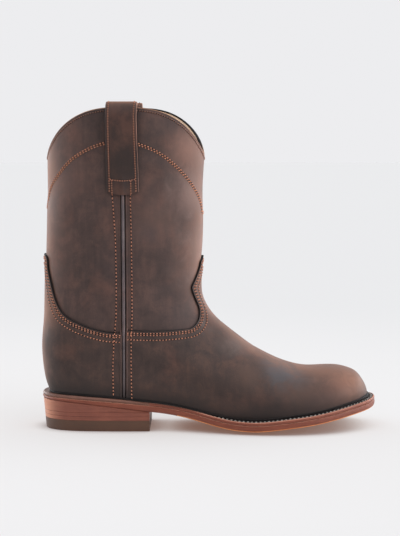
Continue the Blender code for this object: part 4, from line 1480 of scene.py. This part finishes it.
def make_collar():
    """The folded top edge with its black piping, the row of stitches and the sewn arches."""
    ring = skin_at(SHAFT_DEPTH + COLLAR_DEPTH)[-1]
    out = SKIN_NORMALS[-1]
    up = unit(np.cross(tangents_of(ring, True), out))
    up = up * np.sign(up[:, 2:3])
    lip = ((-0.0005, -0.0010), (-0.0005, 0.0004), (-0.0001, 0.0008), (0.0004, 0.0008))
    lip += ((0.0007, 0.0005), (0.0007, -0.0002), (0.0005, -0.0013))
    work = sweep(ring, out, up, lip, closed=True, looks=(1, 1, 1, 1, 0, 0, 0))
    finish_piece("collar_lip", work, (SHAFT_LEATHER, LIP_EDGE))
    piping = ((-0.0020, -0.0003), (-0.0021, 0.0004), (-0.0018, 0.0009), (-0.0012, 0.0011))
    piping += ((-0.0006, 0.0010), (-0.0003, 0.0005), (-0.0003, -0.0003))
    finish_piece("collar_edge", sweep(ring, out, up, piping, closed=True), (BLACK_EDGE_AND_SHADE,))

    ring = settle(resample(skin_at(SHAFT_DEPTH)[-1], COLLAR_SPACING, True), SHAFT_TREE)[0]
    row = offset_path(ring, SHAFT_TREE, COLLAR_ROW, closed=True)
    work = sewn([(row, True)], SHAFT_TREE, COLLAR_PITCH)
    finish_piece("collar_stitches", work, (DARK_THREAD, THREAD_HOLE), sharp=0)

    arch = curve_points(ARCH_ROW)
    lateral, medial = (side_path(SHAFT_TREE, arch, side) for side in (-1, 1))
    path = resample(np.vstack([lateral, medial[::-1]]), EDGE_SPACING, True)
    work = sewn(double_row(path, SHAFT_TREE, closed=True), SHAFT_TREE, paired=True)
    finish_piece("arch_stitches", work, ARCH_SEWING, sharp=0)


def rim_height(side):
    """The height of the collar's edge at one side."""
    angles = -side * np.linspace(0.0, math.pi, 49)
    return float(form(POSITIONS[-1:], angles)[..., 2].max())


def top_line(rows):
    """The height of an overlay's upper edge at x."""
    points = np.array(sorted(edge_points(rows)))
    return lambda x: np.interp(x, points[:, 0], points[:, 1])


VAMP_TOP = top_line(VAMP_EDGE[:4])
COUNTER_TOP = top_line(COUNTER_EDGE[:5])


def overlay_top(x):
    return VAMP_TOP(x) if x > SEAM_X else COUNTER_TOP(x)


def outer_point(x, z, side):
    """A place on the outside: on the overlays below their edges, and on the shaft above."""
    return side_point(SKIN_TREE if z < overlay_top(x) else SHAFT_TREE, x, z, side)


def seam_lip(heights, side, place):
    """The path of a lip beside the side seam's cord, without the step at the overlays' edges."""
    path = np.array([outer_point(SEAM_X + place * SEAM_LIP, z, side) for z in heights])
    for _ in range(3):
        padded = np.pad(path[:, 1], 1, mode="edge")
        path[:, 1] = (padded[:-2] + padded[1:-1] + padded[2:]) / 3
    return path


def seam_rows(heights, side):
    """Rows of points behind and in front of the side seam, on the overlays and on the shaft."""
    on_overlay, on_shaft = [], []
    spread = [row.height for row in SEAM_ROWS][::-1]
    for sign, column in ((-1, "back"), (1, "front")):
        offsets = [getattr(row, column) for row in SEAM_ROWS][::-1]
        xs = SEAM_X + sign * np.interp(heights, spread, offsets)
        row = np.array([outer_point(x, z, side) for x, z in zip(xs, heights)])
        edge = overlay_top(row[0, 0])
        on_overlay.append((row[row[:, 2] < edge - SEAM_ROW_GAP], False))
        on_shaft.append((row[row[:, 2] > edge + SEAM_ROW_GAP], False))
    return on_overlay, on_shaft


def make_side_seam(name, side):
    """The cord in the side seam with the lips and stitches beside it, and a black strip behind the
    cord: painted shade in the grooves on either side of it.
    """
    low = float(sole_top(SEAM_X))
    high = rim_height(side) - STRAP_LENGTH
    heights = np.arange(low - 0.0002, high + 0.004, CORD_SPACING)
    out = np.tile([0.0, float(side), 0.0], (len(heights), 1))
    across = np.tile([1.0, 0.0, 0.0], (len(heights), 1))
    middle = np.array([side_point(SHAFT_TREE, SEAM_X, z, side) for z in heights])
    cord = rounded_ends(ellipse(CORD_RADIUS, CORD_RADIUS, 12, CORD_RADIUS), len(heights))
    work = sweep(middle, across, out, cord)
    nodes = (f"side_piping_{name}",)
    finish_piece(f"seam_cord_{name}", work, (CORD_LEATHER,), nodes, sharp=60.0)

    # Painted shade: a black strip behind the cord, seen as dark grooves on either side of it
    groove_shade = ((-0.0023, -0.0006), (-0.0023, 0.0003), (0.0023, 0.0003), (0.0023, -0.0006))
    finish_piece(f"seam_groove_shade_{name}", sweep(middle, across, out, groove_shade), (BLACK_EDGE_AND_SHADE,))

    section = rounded_ends(ellipse(LIP_WIDTH, LIP_HEIGHT), len(heights))
    lips = [sweep(seam_lip(heights, side, place), across, out, section) for place in (-1, 1)]
    finish_piece(f"seam_lips_{name}", joined(lips), (SHAFT_LEATHER,), sharp=60.0)

    rows = seam_rows(np.arange(low + 0.002, high + 0.001, PATH_SPACING), side)
    trees = (SKIN_TREE, SHAFT_TREE)
    works = [sewn(*pair, SEAM_PITCH, slant=SEAM_SLANT) for pair in zip(rows, trees)]
    finish_piece(f"seam_stitches_{name}", joined(works), SEWING, sharp=0)


def strap_leg(side, across, inner, foot, shoulder, top):
    """Points up the outer or inner leg of a strap, at a place across it from -1 to 1."""
    end = foot + STRAP_END_CURVE * across**2
    tree, standoff, sign = STRAP_LEGS[inner]
    lean = STRAP_LEAN if side < 0 and not inner else 0.0
    box_top = foot + STRAP_BOX
    points = []
    for k in range(STRAP_ROWS + 1):
        z = end + (shoulder - end) * k / STRAP_ROWS
        share = (z - foot) / (top - foot)
        x = SEAM_X + across * (STRAP_WIDTH - STRAP_TAPER * share) / 2
        anchor = foot + STRAP_ANCHOR
        free = float(smooth_step(z, anchor, anchor + STRAP_BLEND))
        hugging = side_point(tree, x, z, side)[1]
        flat = side_point(tree, SEAM_X, z, side)[1]
        y = hugging + (flat - hugging) * free
        y += side * sign * (STRAP_CLEAR + standoff * free)
        if not inner:
            over = math.exp(-(((x - SEAM_X) / CORD_BULGE_WIDTH) ** 2))
            fade = float(smooth_step(-z, -box_top - CORD_BULGE_FADE, -box_top))
            y += side * CORD_BULGE * over * fade
        points.append((x - lean * share, y, z))
    return points


def strap_grid(side, foot, shoulder, top):
    """The middle of a strap's leather, up the outside, over the collar's edge and down."""
    columns = []
    for across in np.linspace(-1.0, 1.0, STRAP_COLUMNS + 1).tolist():
        outside, inside = (strap_leg(side, across, k, foot, shoulder, top) for k in (0, 1))
        (x, y, _), (inner_x, inner_y, _) = outside[-1], inside[-1]
        middle, spread = (y + inner_y) / 2, abs(y - inner_y) / 2
        arch = []
        for k in range(1, STRAP_ARCH_ROWS):
            turn = math.pi * k / STRAP_ARCH_ROWS
            arch.append((
                x + (inner_x - x) * k / STRAP_ARCH_ROWS,
                middle + side * spread * math.cos(turn),
                shoulder + (top - shoulder) * math.sin(turn),
            ))
        columns.append(outside + arch + inside[::-1])
    return np.array(columns).transpose(1, 0, 2)


def make_strap(name, side):
    """A pull strap of folded leather, over the collar's edge and down the inside."""
    rim = rim_height(side)
    foot = rim - STRAP_LENGTH
    shoulder = rim - STRAP_SHOULDER
    grid = strap_grid(side, foot, shoulder, rim + STRAP_OVER_RIM + STRAP_THICKNESS / 2)
    along, across = np.gradient(grid, axis=0), np.gradient(grid, axis=1)
    normals = unit(np.cross(across, along))
    if normals[2, STRAP_COLUMNS // 2, 1] * side < 0:
        normals = -normals
    width = np.linspace(-1.0, 1.0, STRAP_COLUMNS + 1)
    from_edge = STRAP_WIDTH / 2 * (1 - np.abs(width))
    sewn_in = SEWN_DENT * np.exp(-(((from_edge - STRAP_ROW) / SEWN_DENT_WIDTH) ** 2))
    edge_drop = EDGE_DROP * np.exp(-((from_edge / EDGE_DROP_WIDTH) ** 2))
    thick = (STRAP_THICKNESS / 2 - sewn_in - edge_drop)[None, :, None]
    front, back = grid + normals * thick, grid - normals * thick
    left = grid[:, :1] + unit(grid[:, :1] - grid[:, 1:2]) * STRAP_EDGE_BULGE
    right = grid[:, -1:] + unit(grid[:, -1:] - grid[:, -2:-1]) * STRAP_EDGE_BULGE
    rings = np.concatenate([front, right, back[:, ::-1], left], axis=1)
    # The back edge is black: painted shadow where the strap stands off the shaft
    looks = [0] * STRAP_COLUMNS + [1, 1] + [0] * STRAP_COLUMNS + [2, 2]
    work = loft(rings, looks, caps=(1, 1))
    materials = (STRAP_LEATHER, CUT_EDGE, BLACK_EDGE_AND_SHADE)
    nodes = (f"pull_strap_{name}",)
    finish_piece(f"strap_{name}", work, materials, nodes, sharp=28.0)

    inset = STRAP_ROW / STRAP_WIDTH * STRAP_COLUMNS
    last = STRAP_ROWS * 2 + STRAP_ARCH_ROWS - 3
    rows = [column_path(front, column)[2:last] for column in (inset, STRAP_COLUMNS - inset)]
    box_row = int(round(STRAP_ROWS * STRAP_BOX / (shoulder - foot)))
    rows.append(front[box_row, int(inset) + 1 : STRAP_COLUMNS - int(inset)])
    for offset in (-SEAM_ROWS[0].back, SEAM_ROWS[0].front):
        column = (offset / STRAP_WIDTH + 0.5) * STRAP_COLUMNS
        rows.append(column_path(front, column)[1:box_row])
    rows = [(row, False) for row in rows]
    work = sewn(rows, tree_of_open(front), STRAP_PITCH, STRAP_STITCH_RADIUS)
    finish_piece(f"strap_stitches_{name}", work, SEWING, sharp=0)


def column_path(grid, column):
    """A path up a grid at a column that may lie between two."""
    low = int(column)
    share = column - low
    return grid[:, low] * (1 - share) + grid[:, low + 1] * share


def tree_of_open(points):
    """A search tree of an open grid's surface."""
    rows, columns = points.shape[:2]
    quads = []
    for k in range(rows - 1):
        for j in range(columns - 1):
            low = k * columns + j
            quads.append((low, low + 1, low + columns + 1, low + columns))
    return BVHTree.FromPolygons(points.reshape(-1, 3).tolist(), quads)


def dress_insole():
    """The insole keeps its solid, with the finish of the sock that covers it."""
    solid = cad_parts["insole"]
    solid.data.materials.clear()
    solid.data.materials.append(SOCK_LEATHER)


# Floor, light and camera


def make_stage():
    """A wide pale floor that meets the studio's back without an edge, with a painted contact
    shadow and a painted pool of light near the boot.
    """
    mesh = bpy.data.meshes.new("floor")
    corners = [(-1, -1), (1, -1), (1, 1), (-1, 1)]
    points = [(FLOOR_REACH * x, FLOOR_REACH * y, FLOOR_DROP) for x, y in corners]
    mesh.from_pydata(points, [], [(0, 1, 2, 3)])
    floor = bpy.data.objects.new("floor", mesh)
    bpy.context.scene.collection.objects.link(floor)
    material, tree, shader, place = new_material(
        "pale_floor", Base_Color=FLOOR_COLOUR, Roughness=0.9, Specular_IOR_Level=0.0
    )
    # Painted contact shadow: the glow dims and warms where the boot lies close
    clear = in_range(tree, openness(tree, CONTACT_SHADOW_REACH), 0.25, 0.95)
    feed(tree, shader.inputs["Emission Color"], mix(tree, clear, PAINTED_CONTACT_SHADOW, FLOOR_GLOW))
    # Painted pool of light: the glow is brighter near the boot
    away = vector_math(tree, "LENGTH", place)
    glow = in_range(tree, away, *LIGHT_POOL_REACH, PAINTED_LIGHT_POOL, 1.0)
    feed(tree, shader.inputs["Emission Strength"], glow)
    mesh.materials.append(material)


def make_light():
    """A bright studio all round, dimmer from the camera's side, with three soft panels."""
    world = bpy.data.worlds.new("studio")
    world.use_nodes = True
    tree = world.node_tree
    direction = node(tree, "ShaderNodeTexCoord").outputs["Generated"]
    split = node(tree, "ShaderNodeSeparateXYZ", Vector=direction).outputs
    total = in_range(tree, split["Y"], -1.0, 0.5, STUDIO_FRONT, STUDIO_BACK)
    for panel in PANELS:
        middle = Vector(panel.direction).normalized()
        toward = vector_math(tree, "DOT_PRODUCT", direction, middle)
        glow = in_range(tree, toward, panel.edge, panel.core, 0.0, panel.strength)
        low_enough = in_range(tree, split["Z"], panel.low, panel.high, 1.0, 0.0)
        glow = math_node(tree, "MULTIPLY", glow, low_enough)
        total = math_node(tree, "ADD", total, glow)
    background = tree.nodes["Background"]
    feed(tree, background.inputs["Color"], STUDIO_COLOUR)
    feed(tree, background.inputs["Strength"], total)
    bpy.context.scene.world = world


def make_camera():
    data = bpy.data.cameras.new("camera")
    data.lens = CAMERA_LENS
    data.sensor_width = CAMERA_SENSOR
    camera = bpy.data.objects.new("camera", data)
    bpy.context.scene.collection.objects.link(camera)
    forward = Vector((
        -math.sin(CAMERA_YAW) * math.cos(CAMERA_PITCH),
        math.cos(CAMERA_YAW) * math.cos(CAMERA_PITCH),
        -math.sin(CAMERA_PITCH),
    ))
    camera.location = CAMERA_PLACE
    camera.rotation_mode = "QUATERNION"
    camera.rotation_quaternion = forward.to_track_quat("-Z", "Y")
    bpy.context.scene.camera = camera


make_outsole()
make_welt()
make_feather_shade()
make_heel()
make_shaft()
make_overlays()
make_overlay_edges()
make_collar()
for side_name, side_sign in (("lateral", -1), ("medial", 1)):
    make_side_seam(side_name, side_sign)
    make_strap(side_name, side_sign)
dress_insole()
make_stage()
make_light()
make_camera()
bpy.context.scene.view_settings.view_transform = "Standard"
